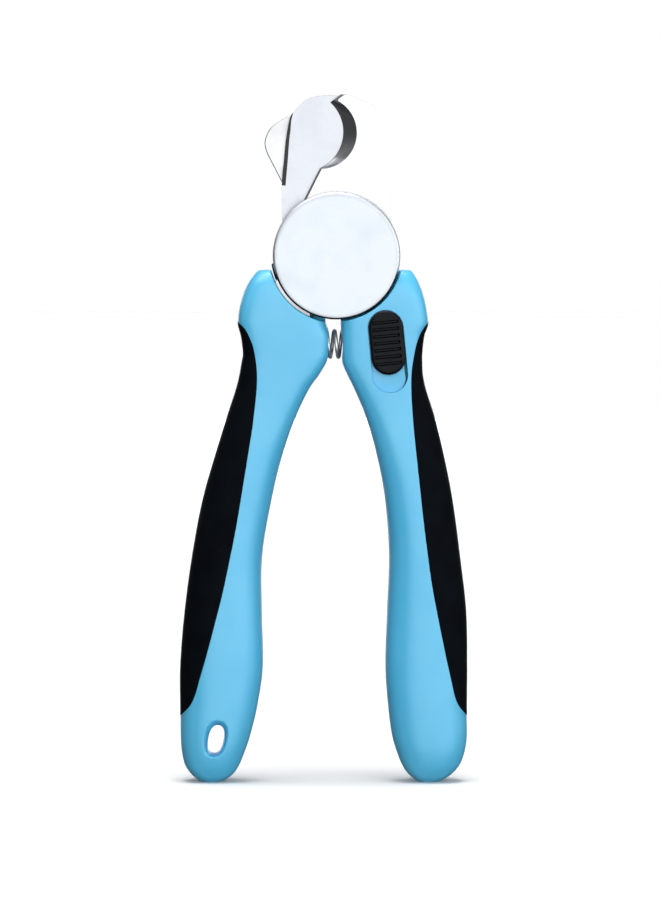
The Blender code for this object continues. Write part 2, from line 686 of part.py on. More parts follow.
def cut_lock_room(shell, core, lock_place):
    """Recess, slot and pocket for the lock in the right handle."""
    margin = GAP + 0.05
    half_width, half_length = BUTTON_HALF
    recess_outline = stadium(half_width + margin, half_length + margin,
                             lowest=-half_length - LOCK_TRAVEL - margin)
    width, length = STEM_HALF
    for target in (shell, core):
        slot = box(f"{target.name}_stem_slot", (-width - margin, -FAR, -length - LOCK_TRAVEL - margin),
                   (width + margin, BOLT_SPAN[0], length + margin), lock_place)
        pocket = prism(f"{target.name}_bolt_pocket", BOLT_POCKET, (BOLT_SPAN[0] - GAP, BOLT_SPAN[1] + GAP),
                       lock_place)
        cut(target, slot, pocket)
    cut(shell, prism("right_cover_recess", recess_outline, (-FAR, RECESS_FLOOR), lock_place))


# --- assembly -----------------------------------------------------------------
def empty(name, place, lean=0.0, parent=None):
    made = bpy.data.objects.new(name, None)
    made.location = (place[0] * MM, 0, place[1] * MM)
    made.rotation_euler = (0, math.radians(lean), 0)
    made.parent = parent
    bpy.context.scene.collection.objects.link(made)
    return made


def main():
    for old in list(bpy.data.objects):
        bpy.data.objects.remove(old, do_unlink=True)

    blue = material("blue_plastic", (0.13, 0.47, 0.86), 0.5, 0.0)
    black_rubber = material("black_rubber", (0.012, 0.016, 0.02), 0.7, 0.0)
    black_plastic = material("black_plastic", (0.015, 0.018, 0.022), 0.45, 0.0)
    core_plastic = material("core_plastic", (0.03, 0.03, 0.035), 0.55, 0.0)
    blade_steel = material("blade_steel", (0.78, 0.8, 0.84), 0.3, 1.0)
    disc_steel = material("disc_steel", (0.82, 0.84, 0.88), 0.35, 1.0)
    spring_steel = material("spring_steel", (0.6, 0.61, 0.63), 0.3, 1.0)
    nylon = material("nylon", (0.75, 0.75, 0.72), 0.5, 0.0)

    pivot = empty("pivot_axis", (PIVOT_X, PIVOT_HEIGHT))
    swing = empty("left_handle_swing", (0, 0), parent=pivot)
    guard_swing = empty("guard_swing", (0, 0), parent=pivot)
    lock = empty("lock_slide", LOCK_PLACE, LOCK_LEAN, pivot)
    lock_place = empty("lock_home", LOCK_PLACE, LOCK_LEAN, pivot)

    make_blade("front_blade", front_blade_outline(), FRONT_BLADE_SPAN, LEFT_TANG, swing, blade_steel)
    make_blade("rear_blade", rear_blade_outline(), REAR_BLADE_SPAN, RIGHT_TANG, pivot, blade_steel)
    make_guard(guard_swing, blade_steel)

    make_cover_disc(pivot, disc_steel)
    make_pivot_screw(pivot, spring_steel)
    make_pivot_nut(pivot, spring_steel)
    make_guard_washer(pivot, nylon)
    make_spring_washer(pivot, spring_steel)

    left_shell = make_shell(-1, LEFT_TANG, FRONT_BLADE_SPAN, swing, blue)
    cut(left_shell, hanging_hole("left_cover_hanging_hole", swing))
    make_core(-1, LEFT_TANG, FRONT_BLADE_SPAN, swing, core_plastic)
    make_grip(-1, swing, black_rubber)
    right_shell = make_shell(1, RIGHT_TANG, REAR_BLADE_SPAN, pivot, blue)
    right_core = make_core(1, RIGHT_TANG, REAR_BLADE_SPAN, pivot, core_plastic)
    cut_lock_room(right_shell, right_core, lock_place)
    make_grip(1, pivot, black_rubber)

    make_return_spring(pivot, spring_steel)
    make_spring_seat(-1, swing, spring_steel)
    make_spring_seat(1, pivot, spring_steel)

    make_lock_button(lock, black_plastic)
    make_lock_bolt(lock, blade_steel)
    make_detent_spring(lock_place, spring_steel)


main()
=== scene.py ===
"""Looks of the plier-type nail clipper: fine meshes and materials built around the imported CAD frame.

Outlines are in millimetres around the pivot, x to the right and z up, as in the CAD model, and are
turned into metres by MM. Angles are in degrees. The front of the clipper faces -Y.
"""

import json
import math

import bmesh
import bpy
import numpy as np
from mathutils import Matrix, Vector


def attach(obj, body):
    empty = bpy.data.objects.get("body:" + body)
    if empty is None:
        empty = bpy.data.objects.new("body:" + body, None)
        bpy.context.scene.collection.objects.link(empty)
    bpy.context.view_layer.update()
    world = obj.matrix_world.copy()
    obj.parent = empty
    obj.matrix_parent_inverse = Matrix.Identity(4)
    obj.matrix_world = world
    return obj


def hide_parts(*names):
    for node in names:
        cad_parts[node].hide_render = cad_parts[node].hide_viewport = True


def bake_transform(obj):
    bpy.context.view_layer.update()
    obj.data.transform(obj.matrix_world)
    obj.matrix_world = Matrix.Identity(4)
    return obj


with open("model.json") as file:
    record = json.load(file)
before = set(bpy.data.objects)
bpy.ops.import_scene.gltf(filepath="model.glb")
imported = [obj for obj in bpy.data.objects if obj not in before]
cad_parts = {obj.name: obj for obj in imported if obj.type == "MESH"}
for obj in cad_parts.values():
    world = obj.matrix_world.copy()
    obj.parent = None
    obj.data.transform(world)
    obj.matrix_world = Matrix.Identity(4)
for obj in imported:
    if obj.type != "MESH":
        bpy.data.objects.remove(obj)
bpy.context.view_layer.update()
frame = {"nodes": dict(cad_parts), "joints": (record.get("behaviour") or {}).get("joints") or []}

MM = 0.001
HINGE = next(joint for joint in frame["joints"] if joint["name"] == "handle_pivot")
PIVOT = Vector(HINGE["pos_m"])
FAR = 45.0

# --- sizes that are also in the CAD model ---
HANDLE_TOP = -3.6
HANDLE_FOOT = -122.8
HEAD_ARC_RADIUS = 15.5
SHELL_WALL = 1.9
GAP = 0.3
CORE_SPAN = (-6.2, -102.0)
# Height, then the inner and the outer edge of the right handle and of the left one. Between -13 and
# -27 the inner edges are up to 0.8 closer to each other than in the CAD model.
HANDLE_EDGES = [
    (-3.6, 0.9, 17.2, -2.9, -18.1),
    (-4.4, 0.9, 17.9, -2.9, -18.9),
    (-6.3, 0.9, 19.0, -2.9, -20.3),
    (-9.1, 0.9, 20.1, -2.9, -21.6),
    (-12.5, 0.9, 20.9, -2.9, -22.55),
    (-15.9, 0.95, 21.2, -2.4, -22.8),
    (-18.7, 1.0, 20.3, -1.5, -22.1),
    (-23.0, 1.1, 19.8, -1.7, -21.6),
    (-25.0, 1.35, 19.8, -2.4, -21.95),
    (-27.7, 2.5, 19.95, -4.0, -22.4),
    (-31.0, 4.1, 20.6, -6.3, -23.2),
    (-37.5, 6.8, 22.65, -9.4, -25.3),
    (-47.2, 9.5, 25.0, -12.75, -28.3),
    (-57.0, 11.3, 26.9, -15.1, -31.05),
    (-70.0, 12.2, 28.65, -17.25, -33.5),
    (-83.0, 11.75, 30.1, -17.35, -35.25),
    (-96.0, 11.4, 30.35, -17.15, -36.3),
    (-105.7, 12.1, 30.3, -18.55, -36.3),
    (-112.2, 13.0, 30.4, -20.15, -36.3),
    (-115.9, 14.1, 29.85, -21.4, -36.0),
    (-119.1, 15.4, 28.6, -22.75, -35.2),
    (-121.2, 16.9, 26.7, -24.2, -33.7),
    (-122.4, 18.4, 24.8, -26.0, -32.2),
    (-122.8, 19.4, 23.4, -27.2, -31.0),
]
GRIP_BORDER = [  # height, right grip's border, left grip's border
    (-15.2, 21.5, -23.1),
    (-16.6, 20.2, -21.3),
    (-18.4, 19.1, -20.2),
    (-21.5, 18.1, -19.0),
    (-28.0, 17.15, -18.2),
    (-37.5, 17.5, -19.0),
    (-50.5, 18.8, -21.0),
    (-63.5, 20.25, -23.2),
    (-76.5, 22.0, -25.85),
    (-89.5, 24.5, -29.1),
    (-98.0, 26.35, -31.5),
    (-104.0, 27.95, -33.5),
    (-107.8, 30.8, -36.8),
]
# Height and half depth, then height and exponent of the handles' sections.
HANDLE_DEPTH = [(-3.6, 4.3), (-4.4, 5.2), (-6.5, 6.1), (-12.0, 6.6), (-32.0, 6.7), (-50.0, 7.2),
                (-65.0, 7.5), (-86.0, 7.4), (-104.0, 7.0), (-114.0, 6.3), (-118.5, 5.3),
                (-121.4, 3.9), (-122.8, 2.4)]
HANDLE_SQUARENESS = [(-3.6, 3.8), (-20.0, 4.6), (-33.0, 3.4), (-50.0, 2.5), (-122.8, 2.4)]
# Middle line and half width of the tangs.
LEFT_TANG = [(-12.8, -22.0, 4.2), (-15.4, -32.0, 3.9), (-21.6, -50.0, 3.2), (-26.6, -78.0, 2.6)]
RIGHT_TANG = [(11.6, -22.0, 4.0), (12.7, -32.0, 3.8), (18.0, -50.0, 3.1), (21.9, -78.0, 2.6)]
TANG_JOIN_ANGLES = (20.0, 65.0)
TANG_ROOM_RISE = 0.3
BOSS_RADIUS = 13.5
PIVOT_BORE_RADIUS = 3.5
FRONT_BLADE_SPAN = (-2.75, -0.15)
REAR_BLADE_SPAN = (0.15, 2.75)
GUARD_SPAN = (3.75, 4.75)
SPRING_HEIGHT = -20.7
SPRING_POCKET_ENDS = (-6.6, 5.4)
SPRING_POCKET_RADIUS = 4.5
SEAT_FLOOR = 0.5
SPRING_WIRE_RADIUS = 0.45
SPRING_OUTER_RADIUS = 3.5
HANGING_HOLE = (-28.05, -112.7)
LOCK_PLACE = (11.7, -20.1)
LOCK_LEAN = -5.5
LOCK_TRAVEL = 4.0
BUTTON_HALF = (3.95, 7.45)
BUTTON_SPAN = (-7.4, -6.2)
STEM_HALF = (1.2, 2.7)
STEM_END = -3.05
SLOT_MARGIN = GAP + 0.05  # around the slider's stem
GROOVE_COUNT = 7
GROOVE_PITCH = 1.6
BOLT_SPAN = (-2.75, -1.35)
BOLT_POCKET = [(-4.25, -11.0), (4.0, -11.0), (4.0, 4.35), (-1.55, 4.35), (-1.55, 13.0), (-4.25, 13.0)]
DISC_RADIUS = 14.75
DISC_FRONT = -6.3
DISC_BACK = -3.05
DISC_FACE_THICKNESS = 1.0
DISC_WALL_RADIUS = 12.6
DISC_CHAMFER = 0.15
DISC_CLIP = (6.3, 7.4, -3.6)  # inner and outer radius, and back end
NUT_HEAD_SPAN = (5.95, 7.4)
NUT_RADIUS = 7.5
NUT_ROUNDING = 0.6
NUT_CHAMFER = 0.2
NUT_SLOT = 0.7  # half width, and depth
THREAD_RADIUS = 2.0
THREAD_END = 5.5
BARREL_RADIUS = 3.2
NOTCH_RADIUS = 9.2
NOTCH_HEIGHT = 28.5
FRONT_NOTCH_X = -7.7
REAR_NOTCH_X = 11.7
NOTCH_UPPER_ANGLE = 47.6
NOTCH_LOWER_ANGLE = -65.0
FRONT_JAW_BACK = [(12.65, 10.3), (12.2, 17.3), (11.7, 24.3), (11.0, 30.1), (10.2, 32.3), (8.9, 34.0),
                  (7.3, 35.2), (5.0, 36.1), (3.1, 37.0), (1.0, 37.2)]
FRONT_JAW_HEEL = [(-7.3, 13.3), (-8.6, 10.8)]
REAR_JAW_BACK = [(3.0, 36.7), (-0.9, 36.9), (-3.8, 36.8), (-6.15, 36.3), (-7.6, 35.5), (-10.1, 32.9),
                 (-10.9, 31.3), (-11.75, 26.6), (-12.2, 21.9), (-12.7, 16.1), (-12.6, 6.6)]
REAR_JAW_HEEL = [(9.3, 10.2), (10.1, 13.6)]
FRONT_JAW_START = 380.0
HEEL_END_ANGLE = 132.0
REAR_JAW_START = 42.0
REAR_JAW_END = 157.0
LOCK_NOTCH_ANGLES = (299.7, 313.6)
LOCK_NOTCH_FLOOR = [(6.35, -7.8), (8.95, -7.8)]
SHOULDER_RADIUS = 15.2
SHOULDER_ANGLES = (188.0, 203.0)
SHOULDER_ROOM_ANGLES = (178.0, 205.0)
GUARD_RING_RADIUS = 7.6
GUARD_RING_ANGLES = (166.0, 416.0)
GUARD_TOP_RADIUS = 33.9
GUARD_RIGHT_SIDE = [(-0.6, 17.0), (-1.5, 27.5), (-2.3, 31.2), (-3.6, 33.2)]
GUARD_TOP_ANGLES = (98.0, 110.0)
GUARD_LEFT_SIDE = [(-14.7, 29.9), (-16.0, 28.2), (-16.7, 26.0), (-16.3, 23.8), (-15.4, 21.9),
                   (-12.4, 16.1)]

# --- shapes that are finer than, or a little unlike, the CAD model's ---
RIGHT_FRONT_ARC_RADIUS = 15.1  # front edge of the right handle's head
LIP_RADIUS = 13.95  # lip of both heads behind the rim of the disc
LIP_DEPTH = 2.65
HANGING_HOLE_HALF = (1.78, 3.45)
HANGING_HOLE_LEAN = 12.0
HANGING_HOLE_EXPONENT = 2.3  # 2 is an ellipse
# Distance along the hole, and how much wider the hole is there.
HANGING_HOLE_FLARE = ((-9.0, 2.4), (-6.6, 1.3), (-6.0, 0.7), (-5.2, 0.3), (-4.0, 0.1), (-1.0, 0.0),
                      (4.0, 0.45), (5.2, 0.7), (6.0, 1.0), (6.6, 1.5), (9.0, 2.6))
RECESS_LEVELS = ((-9.0, 0.3), (-5.6, 0.18))  # mouth and floor of the slider's recess, with margins
MOAT_WIDTH = 0.75  # groove along the right wall of the recess
MOAT_OVERCUT = 0.2
MOAT_FLOOR = -5.1
MOAT_RUNOUT = -55.0  # angle round the lower end at which the groove ends
# Distance below the slider's face and inset there, then the same before its back face.
SLIDER_ROUNDING = ((0.6, 0.0), (0.4, 0.06), (0.18, 0.26), (0.05, 0.5), (0.0, 0.85))
SLIDER_BACK_CHAMFER = (0.12, 0.15)
# Distance below the slider's face, half width and half length of a finger groove.
GROOVE_LEVELS = ((-0.5, 0.6, 3.4), (0.55, 0.16, 2.75))
DISC_EDGE_RADIUS = 0.7
DISC_CROWN = 0.08
AXIS_HOLE = 0.02  # radius at which a turned face ends, short of the axis
RING_WIDTH = 0.07  # of the turning marks on the disc
SPRING_TURNS = 5.75
SPRING_CLOSED_PITCH = 0.92  # of the last turn at each end
SPRING_START = 111.0  # angle of the wire's first end
GRIP_LAP = 0.45  # how far the shell runs on under the grip's rim
GRIP_RAISE = 0.12
GRIP_RIM = 0.5
GRIP_DIP = 0.35
GRIP_EDGE = 0.2  # thickness at the rim
FRONT_LAND = (-3.65, 28.35, 8.35)  # border of the ground crescent on the front blade's face
GRIND_HOLLOW = 0.8
GRIND_STEPS = 8
CUTTING_EDGE_Y = 0.12
# Along a bevel: x, z, width on the face and depth down the side.
FRONT_NOSE_BEVEL = [(4.0, 37.2, 0.1, 0.3), (2.2, 37.5, 0.3, 0.6), (1.0, 37.2, 0.55, 1.0),
                    (-1.5, 35.29, 1.2, 1.6), (-2.7, 34.35, 1.25, 1.6)]
FRONT_HEEL_BEVEL = [(-3.3, 21.2, 0.4, 0.6), (-3.81, 20.16, 0.45, 0.6), (-7.3, 13.3, 0.5, 0.6),
                    (-9.1, 9.8, 0.5, 0.6)]
REAR_SIDE_BEVEL = [(-10.1, 32.9, 0.1, 0.1), (-10.9, 31.3, 0.45, 0.45), (-11.35, 28.9, 0.7, 0.7),
                   (-11.75, 26.6, 0.8, 0.8), (-12.2, 21.9, 0.9, 0.9), (-12.7, 16.1, 0.9, 0.9)]
REAR_NOSE_BEVEL = [(6.5, 34.6, 1.25, 1.6), (5.5, 35.29, 1.2, 1.6), (3.0, 36.7, 0.8, 1.2),
                   (2.0, 37.6, 0.3, 0.5)]
EDGE_BREAK = 0.09
NUT_EDGE_BREAK = 0.08
GUARD_ROUNDING = 0.28
SLIDER_EDGE_BREAK = 0.12
PARTING_LINE = 0.12  # half width
WELD = 0.04  # points closer than this are merged before rounding

# --- colours ---
BLUE_COLOURS = ((0.08, 0.555, 0.9), (0.1, 0.59, 0.93))
BLUE_SPECK = (0.14, 0.56, 0.9)
BLUE_SCUFF = (0.3, 0.66, 0.9)
# Painted shade: dark blue laid on the faces of the groove beside the slider's recess, where the real groove
# lies in shade.
MOAT_SHADE_BLUE = (0.012, 0.17, 0.29)
FRONT_COLOURS = ((0.5, 0.51, 0.53), (0.54, 0.55, 0.565))
REAR_COLOURS = ((0.415, 0.43, 0.465), (0.445, 0.46, 0.49))
# Painted shade: near-black steel laid on the tangs in the gaps round the disc and on the disc's lower rim,
# where the real parts only lie in shade.
PAINTED_SHADE_STEEL = (0.015, 0.02, 0.025)
# Partly painted: the ground bevels are real, but their darker steel is a painted dark reflection.
GROUND_DARKENED_COLOURS = ((0.35, 0.355, 0.365), (0.45, 0.455, 0.465))
DISC_COLOURS = ((0.45, 0.485, 0.525), (0.475, 0.515, 0.555))
DISC_RIM = (0.64, 0.665, 0.7)
RUBBER_COLOURS = ((0.001, 0.002, 0.0045), (0.0025, 0.0045, 0.0065))
RUBBER_DUST = (0.03, 0.036, 0.04)
SLIDER_COLOURS = ((0.001, 0.0015, 0.004), (0.003, 0.0035, 0.008))
CORE_COLOURS = ((0.012, 0.013, 0.015), (0.024, 0.025, 0.027))
PLATED_COLOURS = ((0.42, 0.43, 0.44), (0.56, 0.57, 0.58))
WIRE_COLOURS = ((0.82, 0.83, 0.85), (0.5, 0.5, 0.51))
NYLON_COLOURS = ((0.62, 0.61, 0.56), (0.74, 0.73, 0.69))
FLOOR_COLOURS = ((0.875, 0.87, 0.87), (0.8925, 0.8874, 0.8874))
# Where a finish or a painted shade comes in, in metres: distances from the pivot's axis, and heights of the
# painted shade on the disc's lower rim.
PAINTED_SHADE_FROM = (13.2 * MM, 13.6 * MM)
DISC_SATIN = (13.6 * MM, 14.2 * MM)
DISC_RIM_TINT = (13.9 * MM, 14.3 * MM)
SHADED_RIM_RADII = (14.25 * MM, 14.45 * MM)
SHADED_RIM_HEIGHTS = (PIVOT.z - 4.5 * MM, PIVOT.z - 2.5 * MM)

# --- fineness ---
GRIP_ROWS = 140
GRIP_COLUMNS = 48
VOXEL = 0.3
RING_POINTS = 96
RING_STEP = 0.8
SECTION_SAMPLES = 1200
SPRING_STEPS = 48  # in each turn
WIRE_SIDES = 14
EDGE_SOFTENING = 5  # rounds of smoothing that roll the moulded edges
KEPT_FACES = 0.5  # share left after thinning
SNAP_REACH = 0.14  # points this near to the true section are laid on it
SNAP_FADE = 0.12
GRIP_TIP = 0.06  # half angle of the grip's section, in radians, where it ends
GRIP_CROWDING = 0.6  # 0 spaces the grip's rows evenly


# --- curves and outlines ---
def follow(points, height):
    """Value at a height on the smooth curve through (height, value) points, highest first."""
    if height >= points[0][0]:
        return points[0][1]
    if height <= points[-1][0]:
        return points[-1][1]
    index = 0
    while points[index + 1][0] > height:
        index += 1
    (z0, v0), (z1, v1) = points[index], points[index + 1]
    before = points[max(index - 1, 0)]
    after = points[min(index + 2, len(points) - 1)]
    slope0 = (v1 - before[1]) / (z1 - before[0])
    slope1 = (after[1] - v0) / (after[0] - z0)
    span = z1 - z0
    t = (height - z0) / span
    return ((2 * t ** 3 - 3 * t ** 2 + 1) * v0 + (t ** 3 - 2 * t ** 2 + t) * span * slope0
            + (3 * t ** 2 - 2 * t ** 3) * v1 + (t ** 3 - t ** 2) * span * slope1)


def column(table, index):
    return [(row[0], row[index]) for row in table]


def arc(x, z, radius, start, end, steps):
    angles = [math.radians(start + (end - start) * step / steps) for step in range(steps + 1)]
    return [(x + radius * math.cos(angle), z + radius * math.sin(angle)) for angle in angles]


def stadium(half_width, half_length, lowest=None, steps=24):
    upper = half_length - half_width
    lower = -upper if lowest is None else lowest + half_width
    return arc(0, upper, half_width, 0, 180, steps) + arc(0, lower, half_width, 180, 360, steps)


def signed_power(value, power):
    return math.copysign(abs(value) ** power, value)


def oval(half_width, half_length, exponent, steps):
    """Closed curve between an ellipse, where the exponent is 2, and a rounded rectangle."""
    points = []
    for step in range(steps):
        angle = 2 * math.pi * step / steps
        points.append((half_width * signed_power(math.cos(angle), 2 / exponent),
                       half_length * signed_power(math.sin(angle), 2 / exponent)))
    return points


def rectangle(half_width, low, high):
    return [(-half_width, low), (half_width, low), (half_width, high), (-half_width, high)]


def right_of(line, index):
    """Direction to the right of a line of points at one of them, square to its neighbours' direction."""
    x0, z0 = line[max(index - 1, 0)][:2]
    x1, z1 = line[min(index + 1, len(line) - 1)][:2]
    length = math.hypot(x1 - x0, z1 - z0)
    return (z1 - z0) / length, -(x1 - x0) / length


def strip_sides(line, grow):
    """Both edges of a strip along a line of (x, z, half width) points."""
    edges = ([], [])
    for index, (x, z, half) in enumerate(line):
        across = right_of(line, index)
        for edge, reach in zip(edges, (half + grow, -half - grow)):
            edge.append((x + across[0] * reach, z + across[1] * reach))
    return edges


def tang_end(line, grow):
    x, z, half = line[-1]
    return arc(x, z, half + grow, 200, 340, 10)


def tang_root(side):
    """Start of a tang's centre line, inside the round part of its blade."""
    middle = math.radians(-sum(TANG_JOIN_ANGLES) / 2)
    reach = BOSS_RADIUS - 1.0
    width = BOSS_RADIUS * math.radians(TANG_JOIN_ANGLES[1] - TANG_JOIN_ANGLES[0]) / 2
    return (side * reach * math.cos(middle), reach * math.sin(middle), width)


# --- mesh building ---
def loft(name, rings, capped=True, surface=None):
    """Closed mesh over rings with equal numbers of points, in millimetres around the pivot.

    It is capped at both ends, or else its last ring joins its first.
    """
    count = len(rings[0])
    faces = []
    for level in range(len(rings) - 1 if capped else len(rings)):
        lower = level * count
        upper = ((level + 1) % len(rings)) * count
        for index in range(count):
            after = (index + 1) % count
            faces.append([lower + index, lower + after, upper + after, upper + index])
    if capped:
        faces.append(list(range(count)))
        faces.append(list(range((len(rings) - 1) * count, len(rings) * count)))
    vertices = [(PIVOT.x + x * MM, PIVOT.y + y * MM, PIVOT.z + z * MM) for ring in rings for x, y, z in ring]
    mesh = bpy.data.meshes.new(name)
    mesh.from_pydata(vertices, [], faces)
    shape = bmesh.new()
    shape.from_mesh(mesh)
    bmesh.ops.recalc_face_normals(shape, faces=shape.faces)
    shape.to_mesh(mesh)
    shape.free()
    if surface:
        mesh.materials.append(surface)
    made = bpy.data.objects.new(name, mesh)
    bpy.context.scene.collection.objects.link(made)
    return made


def level_ring(outline, y):
    return [(x, y, z) for x, z in outline]


def prism(name, outline, span, surface=None):
    """Plate with an (x, z) outline, from span[0] to span[1] along y."""
    return loft(name, [level_ring(outline, y) for y in span], surface=surface)


def turned(name, profile, steps=160, capped=True):
    """Piece turned around the pivot's axis, from a profile of (radius, y) points."""
    rings = [level_ring(arc(0, 0, radius, 0, 360, steps)[:-1], y) for radius, y in profile]
    return loft(name, rings, capped)


def put_leaning(shape, spot, lean):
    """Moves a shape drawn around the pivot to an (x, z) spot and leans it there."""
    place = Matrix.Translation(PIVOT + Vector((spot[0] * MM, 0, spot[1] * MM)))
    turn = Matrix.Rotation(math.radians(lean), 4, "Y")
    shape.data.transform(place @ turn @ Matrix.Translation(-PIVOT))
    return shape


def put_in_lock(shape):
    return put_leaning(shape, LOCK_PLACE, LOCK_LEAN)


def settle(shape):
    """Applies a shape's modifiers."""
    graph = bpy.context.evaluated_depsgraph_get()
    mesh = bpy.data.meshes.new_from_object(shape.evaluated_get(graph))
    old = shape.data
    shape.modifiers.clear()
    shape.data = mesh
    bpy.data.meshes.remove(old)


def combine(target, tools, operation="DIFFERENCE", materials="INDEX"):
    """Booleans a target with tools, which are used up. With TRANSFER a cut takes its tool's material."""
    for tool in tools:
        step = target.modifiers.new(tool.name, "BOOLEAN")
        step.operation = operation
        step.solver = "EXACT"
        step.material_mode = materials
        step.object = tool
    settle(target)
    for tool in tools:
        bpy.data.objects.remove(tool, do_unlink=True)
    return target


def smooth_shade(shape, angle=30):
    shape.data.shade_smooth()
    shape.data.set_sharp_from_angle(angle=math.radians(angle))
    return shape


# --- handles ---
def side_word(side):
    return "right" if side > 0 else "left"


def handle_section(side, z):
    """Middle, half width, half depth and exponent of the handle's section at a height."""
    inner = follow(column(HANDLE_EDGES, 1 if side > 0 else 3), z)
    outer = follow(column(HANDLE_EDGES, 2 if side > 0 else 4), z)
    return (inner + outer) / 2, abs(outer - inner) / 2, follow(HANDLE_DEPTH, z), follow(HANDLE_SQUARENESS, z)


def handle_body(name, side, inset, span, points=RING_POINTS):
    """Rounded handle on one side, shrunk by inset."""
    steps = math.ceil((span[0] - span[1]) / RING_STEP)
    heights = [span[0] + (span[1] - span[0]) * step / steps for step in range(steps + 1)]
    heights += [row[0] for row in HANDLE_EDGES if span[1] < row[0] < span[0]]
    rings = []
    for z in sorted(set(heights), reverse=True):
        middle, half_width, half_depth, exponent = handle_section(side, z)
        section = oval(half_width - inset, half_depth - inset, exponent, points)
        rings.append([(middle + x, y, z) for x, y in section])
    return loft(name, rings)


def head_room(name, side):
    """Hollow of the head around the disc, with a lip in the middle that closes the gap behind it."""
    back = HEAD_ARC_RADIUS
    front = RIGHT_FRONT_ARC_RADIUS if side > 0 else back
    profile = [(front, -FAR), (front, -LIP_DEPTH), (LIP_RADIUS, -LIP_DEPTH), (LIP_RADIUS, LIP_DEPTH),
               (back, LIP_DEPTH), (back, FAR)]
    room = turned(name, profile)
    if side > 0:
        return [room]
    start, end = SHOULDER_ROOM_ANGLES
    sector = [(0, 0)] + arc(0, 0, back, start, end, 20)
    return [room, prism(name + "_shoulder", sector, (-FAR, FAR))]


def shell_cavity(name, side):
    cavity = handle_body(name, side, SHELL_WALL, (CORE_SPAN[0] + GAP, CORE_SPAN[1] - GAP), points=40)
    radius = HEAD_ARC_RADIUS + SHELL_WALL
    return combine(cavity, [turned(name + "_arc", [(radius, -FAR), (radius, FAR)])])


def grip_zone(name, side, shift):
    """Plate over everything outside the grip's border, moved outwards by shift."""
    border = column(GRIP_BORDER, 1 if side > 0 else 2)
    top = border[0][0] - shift
    foot = border[-1][0] + shift
    outline = []
    steps = 90
    for step in range(steps + 1):
        z = top + (foot - top) * step / steps
        outline.append((follow(border, z) + side * shift, z))
    outline += [(side * FAR, foot), (side * FAR, top)]
    return prism(name, outline, (-FAR, FAR))


def tang_room(name, side):
    line = RIGHT_TANG if side > 0 else LEFT_TANG
    span = REAR_BLADE_SPAN if side > 0 else FRONT_BLADE_SPAN
    root = tang_root(side)
    above = tuple(a + (a - b) * TANG_ROOM_RISE for a, b in zip(root[:2], line[0])) + (root[2],)
    left, right = strip_sides([above, root] + line, GAP)
    return prism(name, left + tang_end(line, GAP) + right[::-1], (span[0] - GAP, span[1] + GAP))


def spring_pocket(name, side):
    circle = arc(0, SPRING_HEIGHT, SPRING_POCKET_RADIUS, 0, 360, 64)[:-1]
    end = SPRING_POCKET_ENDS[1 if side > 0 else 0]
    return loft(name, [[(x, y, z) for y, z in circle] for x in (0, end)])


def hanging_hole(name):
    """Leaning oval hole, narrowest in the middle, that flares at both faces."""
    half_width, half_length = HANGING_HOLE_HALF
    rings = []
    for y, flare in HANGING_HOLE_FLARE:
        outline = oval(half_width + flare, half_length + flare, HANGING_HOLE_EXPONENT, 64)
        rings.append(level_ring(outline, y))
    return put_leaning(loft(name, rings), HANGING_HOLE, HANGING_HOLE_LEAN)


def recess_moat(name, half_width, top, low, surface):
    """Thin groove down the right wall of the slider's recess, running out round its lower end, with a surface
    that paints shade into it.
    """
    outline = [(half_width, top)] + arc(0, low, half_width, 0, MOAT_RUNOUT, 20)
    for step in range(21):
        part = step / 20
        angle = math.radians(MOAT_RUNOUT * (1 - part))
        radius = half_width - MOAT_WIDTH * part
        outline.append((radius * math.cos(angle), low + radius * math.sin(angle)))
    outline.append((half_width - MOAT_WIDTH, top))
    return put_in_lock(prism(name, outline, (-FAR, MOAT_FLOOR), surface))


def lock_room(name, moat_shade_surface):
    """Recess for the slider, slot for its stem, pocket for its bolt, and the groove beside it, whose faces
    carry a dark blue painted shade.
    """
    half_width, half_length = BUTTON_HALF
    lowest = -half_length - LOCK_TRAVEL
    rings = []
    for y, grow in RECESS_LEVELS:
        rings.append(level_ring(stadium(half_width + grow, half_length + grow, lowest - grow), y))
    recess = put_in_lock(loft(name, rings))
    moat = recess_moat(name + "_moat", half_width + MOAT_OVERCUT, half_length - half_width,
                       lowest + half_width, moat_shade_surface)
    width, length = STEM_HALF
    opening = rectangle(width + SLOT_MARGIN, -length - LOCK_TRAVEL - SLOT_MARGIN, length + SLOT_MARGIN)
    slot = put_in_lock(prism(name + "_slot", opening, (-FAR, BOLT_SPAN[0])))
    pocket = put_in_lock(prism(name + "_bolt", BOLT_POCKET, (BOLT_SPAN[0] - GAP, BOLT_SPAN[1] + GAP)))
    return [recess, slot, pocket], moat


